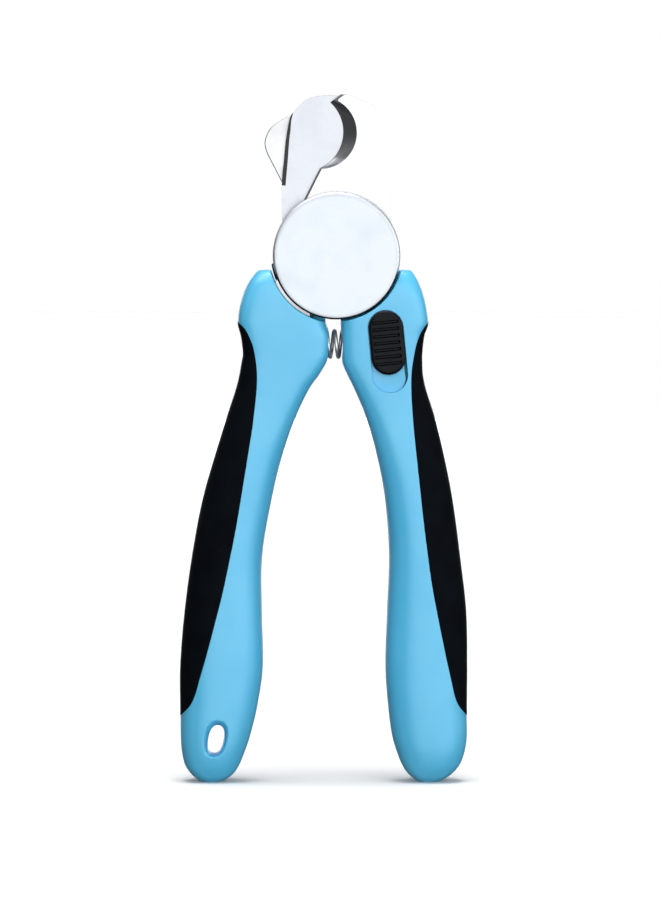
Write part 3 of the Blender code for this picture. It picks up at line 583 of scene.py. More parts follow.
def roll_edges(shape, side):
    """Remeshes a cut moulding evenly, softens its edges and lays its faces back on the true section."""
    remesh = shape.modifiers.new("even", "REMESH")
    remesh.mode = "VOXEL"
    remesh.voxel_size = VOXEL * MM
    soften = shape.modifiers.new("soften", "SMOOTH")
    soften.factor = 0.5
    soften.iterations = EDGE_SOFTENING
    thin = shape.modifiers.new("thin", "DECIMATE")
    thin.ratio = KEPT_FACES
    settle(shape)
    mesh = shape.data
    points = np.zeros(len(mesh.vertices) * 3)
    mesh.vertices.foreach_get("co", points)
    points = (points.reshape(-1, 3) - np.array(PIVOT)) / MM
    heights = np.linspace(HANDLE_TOP, HANDLE_FOOT, SECTION_SAMPLES)[::-1]
    sections = np.array([handle_section(side, z) for z in heights])
    middle, width, depth, exponent = (np.interp(points[:, 2], heights, values) for values in sections.T)
    across = (points[:, 0] - middle) / width
    through = points[:, 1] / depth
    level = (np.abs(across) ** exponent + np.abs(through) ** exponent) ** (1 / exponent)
    level = np.maximum(level, 1e-6)
    reach = np.hypot(points[:, 0] - middle, points[:, 1])
    distance = np.abs(reach / level - reach)
    weight = np.clip((SNAP_REACH + SNAP_FADE - distance) / SNAP_FADE, 0, 1)
    points[:, 0] += weight * (points[:, 0] - middle) * (1 / level - 1)
    points[:, 1] += weight * points[:, 1] * (1 / level - 1)
    mesh.vertices.foreach_set("co", (points * MM + np.array(PIVOT)).ravel())
    mesh.update()
    mesh.shade_smooth()


def make_shell(side, surface, soft_cuts=(), crisp_cuts=(), shade_painted_cuts=()):
    """Blue half of a handle. Soft cuts get rolled edges, and the cuts that carry painted shade keep their own
    dark material.
    """
    word = side_word(side)
    shell = handle_body(f"{word}_shell", side, 0, (HANDLE_TOP, HANDLE_FOOT))
    cuts = [grip_zone("border", side, GRIP_LAP), shell_cavity("cavity", side), spring_pocket("pocket", side),
            tang_room("tang", side)]
    combine(shell, [*head_room("arc", side), *cuts, *soft_cuts])
    roll_edges(shell, side)
    combine(shell, crisp_cuts)
    shell.data.materials.append(surface)
    # The groove's faces keep their dark blue painted shade.
    combine(shell, shade_painted_cuts, materials="TRANSFER")
    smooth_shade(shell, angle=60)
    finish_piece(shell, surface, f"{word}_handle", "blue_plastic", f"{word}_cover")


def grip_reach(side, z):
    """Angle around the section, from its outer side, at which the grip's border lies."""
    border = follow(column(GRIP_BORDER, 1 if side > 0 else 2), z)
    middle, half_width, _, exponent = handle_section(side, z)
    part = side * (border - middle) / half_width
    if part >= 1:
        return 0.0
    return math.acos(signed_power(part, exponent / 2))


def grip_heights(side):
    """Rows of the grip, close together at both of its tips."""
    heights = np.linspace(GRIP_BORDER[0][0], GRIP_BORDER[-1][0], 4000)
    inside = [z for z in heights if grip_reach(side, z) > GRIP_TIP]
    top, foot = inside[0], inside[-1]
    crowded = (1 - np.cos(np.linspace(0, math.pi, GRIP_ROWS))) / 2
    even = np.linspace(0, 1, GRIP_ROWS)
    spacing = GRIP_CROWDING * crowded + (1 - GRIP_CROWDING) * even
    return [top + (foot - top) * part for part in spacing]


def make_grip(side, surface):
    """Rubber grip that stands slightly proud, with a rolled rim that dips into the shell."""
    rings = []
    for z in grip_heights(side):
        middle, half_width, half_depth, exponent = handle_section(side, z)
        reach = grip_reach(side, z)
        base = []
        for step in range(GRIP_COLUMNS + 1):
            angle = reach * math.sin(math.pi * (step / GRIP_COLUMNS - 0.5))
            across = signed_power(math.cos(angle), 2 / exponent)
            through = signed_power(math.sin(angle), 2 / exponent)
            slope = Vector((signed_power(across, exponent - 1) / half_width,
                            signed_power(through, exponent - 1) / half_depth)).normalized()
            base.append((Vector((half_width * across, half_depth * through)), slope))
        lengths = [0.0]
        for before, after in zip(base, base[1:]):
            lengths.append(lengths[-1] + (after[0] - before[0]).length)
        outer = []
        inner = []
        for (point, slope), length in zip(base, lengths):
            distance = min(length, lengths[-1] - length)
            roll = math.sqrt(1 - (1 - min(distance / GRIP_RIM, 1)) ** 2)
            under = min(max((distance - GRIP_RIM) / GRIP_RIM, 0), 1)
            raised = point + slope * (GRIP_RAISE * roll - GRIP_DIP * (1 - roll))
            lowered = point - slope * (GRIP_DIP + GRIP_EDGE + (SHELL_WALL - GRIP_DIP - GAP) * under)
            outer.append((middle + side * raised.x, raised.y, z))
            inner.append((middle + side * lowered.x, lowered.y, z))
        rings.append(outer + inner[::-1])
    word = side_word(side)
    grip = smooth_shade(loft(f"{word}_rubber", rings), angle=50)
    finish_piece(grip, surface, f"{word}_handle", "grip_rubber", f"{word}_grip")


def finish_piece(piece, surface, body, slot, *replaced):
    """Gives a piece its material and its body, and hides the CAD nodes it stands for."""
    if piece.data.materials:
        piece.data.materials[0] = surface
    else:
        piece.data.materials.append(surface)
    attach(piece, body)
    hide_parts(*replaced)


# --- blades ---
def break_edges(shape, width, angle=28, segments=2):
    """Small rounding on every sharp edge, with the flat faces left flat."""
    welded = bmesh.new()
    welded.from_mesh(shape.data)
    bmesh.ops.remove_doubles(welded, verts=welded.verts, dist=WELD * MM)
    bmesh.ops.dissolve_degenerate(welded, edges=welded.edges, dist=WELD * MM)
    welded.to_mesh(shape.data)
    welded.free()
    bevel = shape.modifiers.new("edges", "BEVEL")
    bevel.width = width * MM
    bevel.segments = segments
    bevel.limit_method = "ANGLE"
    bevel.angle_limit = math.radians(angle)
    bevel.use_clamp_overlap = True
    settle(shape)
    smooth_shade(shape, angle=42)
    normals = shape.modifiers.new("normals", "WEIGHTED_NORMAL")
    normals.keep_sharp = True
    normals.weight = 80
    settle(shape)


def bevel_cutter(name, line, face, forward, surface):
    """Wedge that grinds a bevel; face is the y of the flat side, and forward points away from it."""
    rings = []
    for index, (x, z, width, depth) in enumerate(line):
        out = right_of(line, index)
        ring = []
        for across, up in ((-2 * width, depth), (width, -2 * depth), (width + 1, depth + 1)):
            ring.append((x + out[0] * across, face + forward * up, z + out[1] * across))
        rings.append(ring)
    return loft(name, rings, surface=surface)


def hollow_grind(name, edge, land, faces, surface):
    """Cutter whose sides curve from the cutting edge to the border of the ground crescent."""
    (x0, z0, r0), (x1, z1, r1) = edge, land
    y0, y1 = faces
    rings = []
    for step in range(-1, GRIND_STEPS + 2):
        part = step / GRIND_STEPS
        bend = signed_power(part, GRIND_HOLLOW)
        x, z, radius = (a + (b - a) * bend for a, b in ((x0, x1), (z0, z1), (r0, r1)))
        y = y0 + (y1 - y0) * part
        rings.append(level_ring(arc(x, z, radius, 0, 358, 179), y))
    return loft(name, rings, surface=surface)


def smooth_line(points, step=0.35):
    """Points on a smooth curve through the given ones."""
    made = []
    for index in range(len(points) - 1):
        p1 = Vector(points[index])
        p2 = Vector(points[index + 1])
        p0 = Vector(points[max(index - 1, 0)])
        p3 = Vector(points[min(index + 2, len(points) - 1)])
        count = max(2, math.ceil((p2 - p1).length / step))
        for number in range(count):
            t = number / count
            point = 0.5 * (2 * p1 + (p2 - p0) * t + (2 * p0 - 5 * p1 + 4 * p2 - p3) * t ** 2
                           + (3 * p1 - p0 - 3 * p2 + p3) * t ** 3)
            made.append(tuple(point))
    made.append(tuple(points[-1]))
    return made


def front_blade_outline():
    lower = 180 + TANG_JOIN_ANGLES[1]
    left, right = strip_sides([tang_root(-1)] + LEFT_TANG, 0)
    return (arc(0, 0, BOSS_RADIUS, lower, LOCK_NOTCH_ANGLES[0], 24) + LOCK_NOTCH_FLOOR
            + arc(0, 0, BOSS_RADIUS, LOCK_NOTCH_ANGLES[1], FRONT_JAW_START, 30) + smooth_line(FRONT_JAW_BACK)
            + arc(FRONT_NOTCH_X, NOTCH_HEIGHT, NOTCH_RADIUS, NOTCH_UPPER_ANGLE, NOTCH_LOWER_ANGLE, 60)
            + FRONT_JAW_HEEL + arc(0, 0, BOSS_RADIUS, HEEL_END_ANGLE, SHOULDER_ANGLES[0] - 3, 26)
            + arc(0, 0, SHOULDER_RADIUS, *SHOULDER_ANGLES, 10)
            + left + tang_end(LEFT_TANG, 0) + right[:0:-1])


def rear_blade_outline():
    upper, lower = TANG_JOIN_ANGLES
    left, right = strip_sides(RIGHT_TANG, 0)
    return (arc(0, 0, BOSS_RADIUS, -upper, REAR_JAW_START, 30) + REAR_JAW_HEEL
            + arc(REAR_NOTCH_X, NOTCH_HEIGHT, NOTCH_RADIUS, 180 - NOTCH_LOWER_ANGLE,
                  180 - NOTCH_UPPER_ANGLE, 60)
            + smooth_line(REAR_JAW_BACK) + arc(0, 0, BOSS_RADIUS, REAR_JAW_END, 360 - lower, 60)
            + left + tang_end(RIGHT_TANG, 0) + right[::-1])


def bore(name):
    return turned(name, [(PIVOT_BORE_RADIUS, -FAR), (PIVOT_BORE_RADIUS, FAR)], steps=64)


def make_blade(piece, outline, span, cutters, flat, body, node):
    blade = prism(piece, outline, span, flat)
    combine(blade, [bore("bore"), *cutters], materials="TRANSFER")
    break_edges(blade, EDGE_BREAK)
    finish_piece(blade, flat, body, "blade_steel", node)


def make_front_blade(flat, ground):
    face = FRONT_BLADE_SPAN[0]
    edge = (FRONT_NOTCH_X, NOTCH_HEIGHT, NOTCH_RADIUS)
    cutters = [hollow_grind("grind", edge, FRONT_LAND, (-CUTTING_EDGE_Y, face), ground),
               bevel_cutter("nose", FRONT_NOSE_BEVEL, face, -1, ground),
               bevel_cutter("heel", FRONT_HEEL_BEVEL, face, -1, ground)]
    make_blade("front_jaw", front_blade_outline(), FRONT_BLADE_SPAN, cutters, flat, "left_handle",
               "front_blade")


def make_rear_blade(flat, ground):
    face, back = REAR_BLADE_SPAN
    edge = (REAR_NOTCH_X, NOTCH_HEIGHT, NOTCH_RADIUS)
    land = (REAR_NOTCH_X - FRONT_LAND[0] + FRONT_NOTCH_X, FRONT_LAND[1], FRONT_LAND[2])
    cutters = [hollow_grind("grind", edge, land, (CUTTING_EDGE_Y, back), ground),
               bevel_cutter("side", REAR_SIDE_BEVEL, face, -1, ground),
               bevel_cutter("nose", REAR_NOSE_BEVEL, back, 1, ground)]
    make_blade("rear_jaw", rear_blade_outline(), REAR_BLADE_SPAN, cutters, flat, "right_handle",
               "rear_blade")


def make_guard(surface):
    """Pressed guard plate with rolled edges."""
    top = arc(0, 0, GUARD_TOP_RADIUS, *GUARD_TOP_ANGLES, 8)
    outline = (arc(0, 0, GUARD_RING_RADIUS, *GUARD_RING_ANGLES, 80)
               + smooth_line(GUARD_RIGHT_SIDE + top + GUARD_LEFT_SIDE, 0.5))
    guard = prism("swing_guard", outline, GUARD_SPAN)
    combine(guard, [bore("bore")])
    break_edges(guard, GUARD_ROUNDING, segments=4)
    finish_piece(guard, surface, "guard", "guard_steel", "safety_guard")


# --- pivot hardware and spring ---
def make_disc(surface):
    """Turned cap with a nearly flat face and a rolled rim."""
    middle = DISC_RADIUS - DISC_EDGE_RADIUS
    profile = [(AXIS_HOLE, DISC_FRONT - DISC_CROWN)]
    for step in range(1, 15):
        radius = middle * step / 15
        profile.append((radius, DISC_FRONT - DISC_CROWN * (1 - (radius / middle) ** 2)))
    profile += arc(middle, DISC_FRONT + DISC_EDGE_RADIUS, DISC_EDGE_RADIUS, -90, 0, 12)
    inside = DISC_FRONT + DISC_FACE_THICKNESS
    clip_inner, clip_outer, clip_end = DISC_CLIP
    profile += [(DISC_RADIUS, DISC_BACK - DISC_CHAMFER), (DISC_RADIUS - DISC_CHAMFER, DISC_BACK),
                (DISC_WALL_RADIUS + DISC_CHAMFER, DISC_BACK), (DISC_WALL_RADIUS, DISC_BACK - DISC_CHAMFER),
                (DISC_WALL_RADIUS, inside), (clip_outer, inside), (clip_outer, clip_end),
                (clip_inner, clip_end), (clip_inner, inside), (AXIS_HOLE, inside)]
    disc = smooth_shade(turned("pivot_cap", profile), angle=35)
    finish_piece(disc, surface, "right_handle", "disc_steel", "cover_disc")


def make_nut(surface):
    """Barrel nut with a low rounded head and a screwdriver slot."""
    front, back = NUT_HEAD_SPAN
    profile = [(THREAD_RADIUS, FRONT_BLADE_SPAN[0]), (BARREL_RADIUS, FRONT_BLADE_SPAN[0]),
               (BARREL_RADIUS, front), (NUT_RADIUS - NUT_CHAMFER, front), (NUT_RADIUS, front + NUT_CHAMFER)]
    profile += arc(NUT_RADIUS - NUT_ROUNDING, back - NUT_ROUNDING, NUT_ROUNDING, 0, 90, 6)
    profile += [(AXIS_HOLE, back), (AXIS_HOLE, THREAD_END), (THREAD_RADIUS, THREAD_END)]
    nut = turned("slotted_nut", profile, steps=96, capped=False)
    combine(nut, [prism("slot", rectangle(FAR, -NUT_SLOT, NUT_SLOT), (back - NUT_SLOT, FAR))])
    break_edges(nut, NUT_EDGE_BREAK)
    finish_piece(nut, surface, "right_handle", "hardware_steel", "pivot_nut")


def make_spring(surface):
    """Round wire wound between the handles, with closed end turns."""
    low = SPRING_POCKET_ENDS[0] + GAP + SEAT_FLOOR + GAP + SPRING_WIRE_RADIUS
    high = SPRING_POCKET_ENDS[1] - GAP - SEAT_FLOOR - GAP - SPRING_WIRE_RADIUS
    radius = SPRING_OUTER_RADIUS - SPRING_WIRE_RADIUS
    open_turns = SPRING_TURNS - 2
    open_pitch = (high - low - 2 * SPRING_CLOSED_PITCH) / open_turns
    count = int(SPRING_TURNS * SPRING_STEPS)
    rings = []
    for step in range(count + 1):
        done = SPRING_TURNS * step / count
        angle = 2 * math.pi * done + math.radians(SPRING_START)
        closed = min(done, 1) + max(done - 1 - open_turns, 0)
        along = low + SPRING_CLOSED_PITCH * closed + open_pitch * min(max(done - 1, 0), open_turns)
        ring = []
        for side in range(WIRE_SIDES):
            turn = 2 * math.pi * side / WIRE_SIDES
            reach = radius + SPRING_WIRE_RADIUS * math.cos(turn)
            ring.append((along + SPRING_WIRE_RADIUS * math.sin(turn),
                         reach * math.cos(angle), SPRING_HEIGHT + reach * math.sin(angle)))
        rings.append(ring)
    spring = smooth_shade(loft("coil_spring", rings, surface=surface), angle=60)
    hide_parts("return_spring")
    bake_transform(spring)


# --- lock slider ---
def make_slider(surface):
    """Moulded slider with rounded edges and finger grooves, and its stem behind."""
    front, back = BUTTON_SPAN
    half_width, half_length = BUTTON_HALF
    chamfer_depth, chamfer_inset = SLIDER_BACK_CHAMFER
    levels = [(back, chamfer_inset), (back - chamfer_depth, 0.0)]
    levels += [(front + below, inset) for below, inset in SLIDER_ROUNDING]
    rings = [level_ring(stadium(half_width - inset, half_length - inset), y) for y, inset in levels]
    slider = loft("ribbed_slider", rings)
    width, length = STEM_HALF
    combine(slider, [prism("stem", rectangle(width, -length, length), (back - GAP, STEM_END))], "UNION")
    grooves = []
    for number in range(GROOVE_COUNT):
        middle = (number - (GROOVE_COUNT - 1) / 2) * GROOVE_PITCH
        rings = [level_ring(rectangle(reach, middle - half, middle + half), front + below)
                 for below, half, reach in GROOVE_LEVELS]
        grooves.append(loft(f"groove_{number}", rings))
    combine(slider, grooves)
    put_in_lock(slider)
    break_edges(slider, SLIDER_EDGE_BREAK, angle=30, segments=3)
    finish_piece(slider, surface, "lock", "lock_plastic", "lock_button")


# --- materials ---
def add_node(tree, kind, inputs, output, **settings):
    """Adds a shader node and returns one of its outputs. Each input is a value or another output."""
    made = tree.nodes.new("ShaderNode" + kind)
    for key, value in settings.items():
        setattr(made, key, value)
    for socket, value in inputs.items():
        if isinstance(value, bpy.types.NodeSocket):
            tree.links.new(value, made.inputs[socket])
        else:
            made.inputs[socket].default_value = value
    return made.outputs[output]


class Surface:
    """Node-based material measured in the object's own metres."""

    def __init__(self, name, roughness=0.5, metallic=0.0, specular=0.5):
        self.material = bpy.data.materials.new(name)
        self.material.use_nodes = True
        self.tree = self.material.node_tree
        self.shader = self.tree.nodes["Principled BSDF"]
        self.shader.inputs["Roughness"].default_value = roughness
        self.shader.inputs["Metallic"].default_value = metallic
        self.shader.inputs["Specular IOR Level"].default_value = specular
        self.place = add_node(self.tree, "TexCoord", {}, "Object")
        self.last_bump = None

    def grain(self, size, detail=3.0, stretch=(1, 1, 1)):
        """Noise whose cells are about size millimetres, stretched along axes where stretch is above 1."""
        scale = [1 / (size * MM * part) for part in stretch]
        cells = add_node(self.tree, "Mapping", {"Vector": self.place, "Scale": scale}, "Vector")
        inputs = {"Vector": cells, "Scale": 1.0, "Detail": detail}
        return add_node(self.tree, "TexNoise", inputs, "Fac")

    def span(self, source, low, high, start=0.3, end=0.7):
        """Source taken from the range start to end into the range low to high."""
        inputs = {"Value": source, "From Min": start, "From Max": end, "To Min": low, "To Max": high}
        return add_node(self.tree, "MapRange", inputs, "Result")

    def calculate(self, operation, first, second):
        return add_node(self.tree, "Math", {0: first, 1: second}, "Value", operation=operation)

    def tint(self, factor, first, second):
        """Colour between two, each a colour or an earlier result."""
        inputs = {"Factor": factor}
        for socket, value in ((6, first), (7, second)):
            inputs[socket] = (*value, 1.0) if isinstance(value, tuple) else value
        return add_node(self.tree, "Mix", inputs, 2, data_type="RGBA")

    def colour(self, source):
        self.tree.links.new(source, self.shader.inputs["Base Color"])

    def rough(self, source):
        self.tree.links.new(source, self.shader.inputs["Roughness"])

    def relief(self, source, height, strength):
        """Adds a bump of the given height in millimetres."""
        inputs = {"Height": source, "Distance": height * MM, "Strength": strength}
        if self.last_bump:
            inputs["Normal"] = self.last_bump
        self.last_bump = add_node(self.tree, "Bump", inputs, "Normal")
        self.tree.links.new(self.last_bump, self.shader.inputs["Normal"])

    def vector(self, operation, inputs, output="Vector"):
        return add_node(self.tree, "VectorMath", inputs, output, operation=operation)

    def from_pivot(self):
        """Distance from the pivot's axis, in metres."""
        shifted = self.vector("SUBTRACT", {0: self.place, 1: PIVOT})
        return self.vector("LENGTH", {0: self.vector("MULTIPLY", {0: shifted, 1: (1, 0, 1)})}, "Value")

    def along(self, axis):
        return add_node(self.tree, "SeparateXYZ", {"Vector": self.place}, axis)


def blue_moulding(name, colours, specular):
    """Moulded plastic with a fine eroded grain, faint flow clouds, scuffs and a parting line."""
    s = Surface(name, specular=specular)
    colour = s.tint(s.span(s.grain(14.0, 2.0), 0, 1), *colours)
    colour = s.tint(s.span(s.grain(0.25, 2.0), 0, 0.12, 0.55, 0.75), colour, BLUE_SPECK)
    scuffs = s.span(s.grain(1.6, 6.0, (1, 1, 7)), 0, 1, 0.66, 0.74)
    s.colour(s.tint(s.calculate("MULTIPLY", scuffs, 0.18), colour, BLUE_SCUFF))
    even = s.span(s.grain(4.0, 4.0), 0.36, 0.46)
    s.rough(s.calculate("ADD", even, s.calculate("MULTIPLY", scuffs, 0.14)))
    s.relief(s.grain(0.16, 2.0), 0.012, 0.5)
    s.relief(s.grain(9.0, 1.0), 0.06, 0.3)
    from_parting = s.calculate("ABSOLUTE", s.along("Y"), 0.0)
    s.relief(s.span(from_parting, 0, 1, 0.0, PARTING_LINE * MM), 0.05, 0.6)
    return s.material


def grip_rubber():
    """Matt rubber with a fine stipple and a little dust in it."""
    s = Surface("grip_rubber", specular=0.045)
    stipple = s.grain(0.3)
    colour = s.tint(s.span(s.grain(6.0, 5.0), 0, 1, 0.35, 0.75), *RUBBER_COLOURS)
    dust = s.span(s.grain(0.5, 8.0), 0, 0.35, 0.68, 0.8)
    s.colour(s.tint(dust, colour, RUBBER_DUST))
    s.rough(s.span(stipple, 0.6, 0.78))
    s.relief(stipple, 0.03, 0.6)
    s.relief(s.grain(2.5, 2.0), 0.03, 0.3)
    return s.material


def brushed_steel(name, colours, roughness, stretch, size=0.05, painted_shade_band=None):
    """Steel with fine grinding lines and cloudy gloss.

    The last argument holds the upper and lower heights of a stretch outside the round boss that is painted
    near-black: painted shade where the tangs lie deep in the gaps round the disc.
    """
    s = Surface(name, metallic=1.0)
    lines = s.grain(size, 4.0, stretch)
    clouds = s.grain(7.0, 4.0)
    colour = s.tint(s.span(lines, 0, 1), *colours)
    colour = s.tint(s.span(clouds, 0, 0.35, 0.4, 0.75), colour, colours[0])
    gloss = s.calculate("ADD", s.span(lines, *roughness), s.span(clouds, 0, 0.08, 0.45, 0.7))
    # Painted shade: outside the boss, between two heights, the colour goes near-black and the surface rougher,
    # where the tangs sit in shade.
    if painted_shade_band:
        upper, lower = (PIVOT.z + z * MM for z in painted_shade_band)
        soft = 0.4 * MM
        outside = s.span(s.from_pivot(), 0, 1, *PAINTED_SHADE_FROM)
        height = s.along("Z")
        band = s.calculate("MULTIPLY", s.span(height, 1, 0, upper - soft, upper),
                           s.span(height, 0, 1, lower - soft, lower))
        painted_gap_shade = s.calculate("MULTIPLY", outside, band)
        colour = s.tint(painted_gap_shade, colour, PAINTED_SHADE_STEEL)
        gloss = s.calculate("ADD", gloss, s.calculate("MULTIPLY", painted_gap_shade, 0.3))
    s.colour(colour)
    s.rough(gloss)
    s.relief(lines, 0.0016, 0.6)
    return s.material


def turned_steel():
    """Face-turned cap: fine rings round the pivot, a soft haze and a satin rim, with painted shade on the rim
    below, where it faces the handles.
    """
    s = Surface("turned_steel", metallic=1.0)
    radius = s.from_pivot()
    count = s.calculate("MULTIPLY", radius, 1 / (RING_WIDTH * MM))
    inputs = {"W": count, "Scale": 1.0, "Detail": 3.0}
    lines = add_node(s.tree, "TexNoise", inputs, "Fac", noise_dimensions="1D")
    haze = s.grain(6.0, 4.0)
    colour = s.tint(s.span(lines, 0, 1), *DISC_COLOURS)
    colour = s.tint(s.span(haze, 0, 0.3, 0.4, 0.75), colour, DISC_COLOURS[0])
    colour = s.tint(s.span(radius, 0, 1, *DISC_RIM_TINT), colour, DISC_RIM)
    # Painted shade: the outer rim turns near-black below the pivot, where the gap to the handles lies in
    # shade.
    low = s.span(s.along("Z"), 1, 0, *SHADED_RIM_HEIGHTS)
    painted_rim_shade = s.calculate("MULTIPLY", low, s.span(radius, 0, 1, *SHADED_RIM_RADII))
    s.colour(s.tint(painted_rim_shade, colour, PAINTED_SHADE_STEEL))
    satin = s.calculate("ADD", s.span(haze, 0, 0.06, 0.45, 0.7), s.span(radius, 0, 0.2, *DISC_SATIN))
    s.rough(s.calculate("ADD", s.span(lines, 0.26, 0.36), satin))
    s.relief(lines, 0.0012, 0.5)
    return s.material


def mottled(name, colours, roughness, cloud, grain, relief, spread=(0.3, 0.7), metallic=0.0, specular=0.5):
    """Surface that varies in clouds between two colours and two roughnesses, with a fine grain.

    cloud and grain hold a noise's size, detail and stretch, and relief the grain's height and strength.
    """
    s = Surface(name, metallic=metallic, specular=specular)
    clouds = s.grain(*cloud)
    s.colour(s.tint(s.span(clouds, 0, 1, *spread), *colours))
    s.rough(s.span(clouds, *roughness))
    s.relief(s.grain(*grain), *relief)
    return s.material


# --- assembly ---
blue = blue_moulding("blue_moulding", BLUE_COLOURS, 0.95)
# Painted shade: the same moulding in dark blue, for the groove by the slider.
moat_shade_paint = blue_moulding("groove_painted_shade", (MOAT_SHADE_BLUE, MOAT_SHADE_BLUE), 0.1)
rubber = grip_rubber()
# Painted shade on the tangs outside the boss: on the front blade only just below the pivot, on the rear blade
# all the way down.
front_steel = brushed_steel("front_blade_steel", FRONT_COLOURS, (0.2, 0.28), (60, 8, 1), painted_shade_band=(-1.6, -5.5))
rear_steel = brushed_steel("rear_blade_steel", REAR_COLOURS, (0.22, 0.3), (60, 8, 1), painted_shade_band=(-1.6, -100.0))
# Ground bevels: real facets, darkened as a painted dark reflection.
ground_steel = brushed_steel("ground_steel", GROUND_DARKENED_COLOURS, (0.14, 0.22), (1, 30, 1), size=0.09)
guard_steel = brushed_steel("guard_steel", FRONT_COLOURS, (0.24, 0.34), (1, 8, 60))
disc_steel = turned_steel()
hardware = mottled("plated_steel", PLATED_COLOURS, (0.26, 0.42), (1.2, 5.0), (0.12, 2.0), (0.004, 0.5),
                   metallic=1.0)
wire = mottled("spring_wire", WIRE_COLOURS, (0.4, 0.55), (0.35, 4.0, (1, 3, 3)), (0.08, 3.0, (1, 4, 4)),
               (0.003, 0.5), (0.4, 0.75), metallic=1.0)
slider_plastic = mottled("slider_plastic", SLIDER_COLOURS, (0.34, 0.48), (2.2, 5.0), (0.22, 2.0), (0.015, 0.5),
                         (0.4, 0.75), specular=0.13)
core_plastic = mottled("core_plastic", CORE_COLOURS, (0.48, 0.6), (2.2, 5.0), (0.4, 2.0), (0.015, 0.5),
                       (0.4, 0.75), specular=0.13)
nylon = mottled("nylon_washer", NYLON_COLOURS, (0.4, 0.55), (1.5, 4.0), (0.2, 3.0), (0.01, 0.4))

recess_cuts, moat_cut = lock_room("recess", moat_shade_paint)
make_shell(-1, blue, soft_cuts=[hanging_hole("hole")])
make_shell(1, blue, crisp_cuts=recess_cuts, shade_painted_cuts=[moat_cut])
make_grip(-1, rubber)
make_grip(1, rubber)
make_front_blade(front_steel, ground_steel)
make_rear_blade(rear_steel, ground_steel)
make_guard(guard_steel)
make_disc(disc_steel)
make_nut(hardware)
make_spring(wire)
make_slider(slider_plastic)

KEPT_NODES = {
    "pivot_screw": hardware,
    "spring_washer": hardware,
    "guard_washer": nylon,
    "left_core": core_plastic,
    "right_core": core_plastic,
    "left_spring_seat": hardware,
    "right_spring_seat": hardware,
    "lock_bolt": rear_steel,
    "lock_detent_spring": hardware,
}
for name, surface in KEPT_NODES.items():
    slots = frame["nodes"][name].data.materials
    slots.clear()
    slots.append(surface)

# --- camera, floor and light ---
CAMERA_DISTANCE = 1.6
CAMERA_ELEVATION = 4.0
FRAME_HEIGHT = 0.2092  # height that the picture takes in at the object
FRAME_MIDDLE = Vector((0.00145, 0.0, 0.0774))
SENSOR = 36.0
FLOOR_HALF = (2.5, 2.2)
AREA_LIGHTS = [  # name, place, aim, size, power, and whether it lights matt surfaces
    ("front_box", (0.3, -1.2, 0.1), (0.0, 0.0, 0.07), (2.2, 1.6), 22.5, True),
    ("back_box", (0.0, 1.3, 0.1), (0.0, 0.0, 0.1), (1.6, 0.4), 4.0, True),
    ("right_card", (0.9, -0.3, 0.15), (0.0, 0.0, 0.12), (0.9, 0.6), 2.6, False),
    ("top_card", (-0.4, -0.2, 0.85), (0.0, 0.0, 0.12), (0.6, 0.4), 2.3, False),
]
SUN_DIRECTION = (0.0, 0.05, -1.0)
SUN_STRENGTH = 2.4
SUN_SPREAD = 24.0
BACKDROP_STRENGTH = 1.0  # of the world where the camera sees it
ROOM_STRENGTH = (0.12, 0.4)  # of the world as a light, from below and from above
ROOM_RISE = (-0.05, 0.7)  # upward part of a direction, over which it grows


def make_camera():
    data = bpy.data.cameras.new("camera")
    data.sensor_width = SENSOR
    data.lens = SENSOR * CAMERA_DISTANCE / FRAME_HEIGHT
    data.clip_start = 0.05
    data.clip_end = 20.0
    camera = bpy.data.objects.new("camera", data)
    lean = math.radians(CAMERA_ELEVATION)
    back = Vector((0, -math.cos(lean), math.sin(lean)))
    camera.location = FRAME_MIDDLE + back * CAMERA_DISTANCE
    camera.rotation_euler = (-back).to_track_quat("-Z", "Y").to_euler()
    bpy.context.scene.collection.objects.link(camera)
    bpy.context.scene.camera = camera


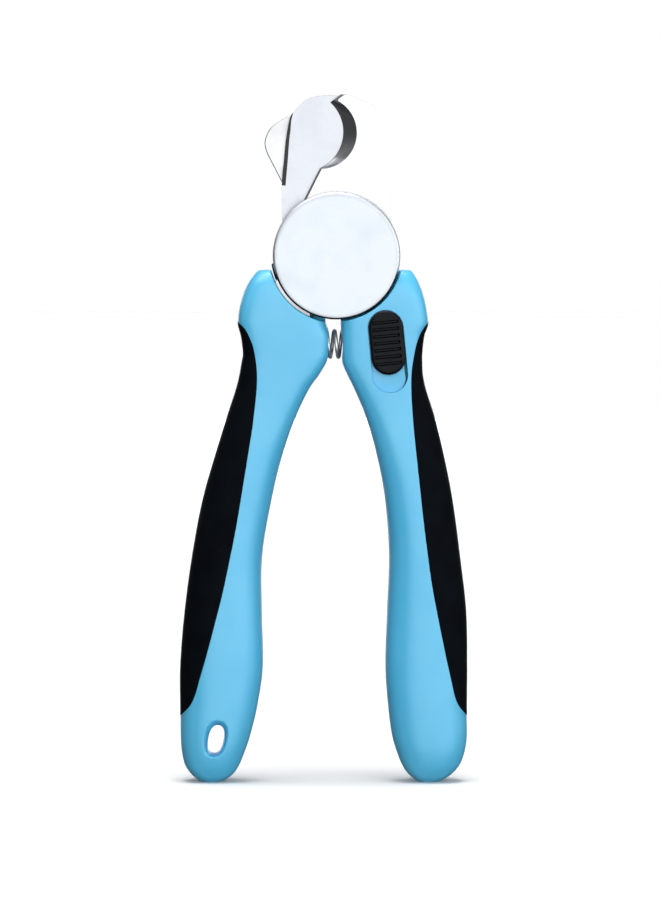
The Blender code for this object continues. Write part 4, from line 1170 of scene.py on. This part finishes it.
def make_floor():
    """White paper that takes the piece's shadow and sends no light back to it."""
    half_x, half_y = FLOOR_HALF
    mesh = bpy.data.meshes.new("floor")
    mesh.from_pydata([(-half_x, -half_y, 0), (half_x, -half_y, 0), (half_x, half_y, 0), (-half_x, half_y, 0)],
                     [], [(0, 1, 2, 3)])
    s = Surface("floor_paper", 0.9, specular=0.0)
    s.colour(s.tint(s.span(s.grain(30.0), 0, 1), *FLOOR_COLOURS))
    mesh.materials.append(s.material)
    sheet = bpy.data.objects.new("floor", mesh)
    bpy.context.scene.collection.objects.link(sheet)
    sheet.visible_diffuse = False
    sheet.visible_glossy = False


def add_light(name, kind, place, aim, power, **settings):
    data = bpy.data.lights.new(name, kind)
    data.energy = power
    for key, value in settings.items():
        setattr(data, key, value)
    lamp = bpy.data.objects.new(name, data)
    lamp.location = place
    lamp.rotation_euler = (Vector(aim) - Vector(place)).to_track_quat("-Z", "Y").to_euler()
    bpy.context.scene.collection.objects.link(lamp)
    return lamp


def make_world():
    """White backdrop for the picture, and a room that lights the piece: dim below, brighter above."""
    world = bpy.data.worlds.new("studio")
    bpy.context.scene.world = world
    world.use_nodes = True
    tree = world.node_tree
    direction = add_node(tree, "TexCoord", {}, "Generated")
    upward = add_node(tree, "SeparateXYZ", {"Vector": direction}, "Z")
    inputs = {"Value": upward, "From Min": ROOM_RISE[0], "From Max": ROOM_RISE[1],
              "To Min": ROOM_STRENGTH[0], "To Max": ROOM_STRENGTH[1]}
    room = add_node(tree, "MapRange", inputs, "Result", interpolation_type="SMOOTHSTEP")
    seen = add_node(tree, "LightPath", {}, "Is Camera Ray")
    strength = add_node(tree, "Mix", {"Factor": seen, "A": room, "B": BACKDROP_STRENGTH}, "Result")
    background = tree.nodes["Background"]
    background.inputs["Color"].default_value = (1, 1, 1, 1)
    tree.links.new(strength, background.inputs["Strength"])


bpy.context.scene.view_settings.view_transform = "Standard"
make_camera()
make_world()
make_floor()
for name, place, aim, (width, height), power, diffuse in AREA_LIGHTS:
    lamp = add_light(name, "AREA", place, aim, power, shape="RECTANGLE", size=width, size_y=height)
    lamp.visible_diffuse = diffuse
add_light("overhead", "SUN", (0.0, 0.0, 0.0), SUN_DIRECTION, SUN_STRENGTH, angle=math.radians(SUN_SPREAD))
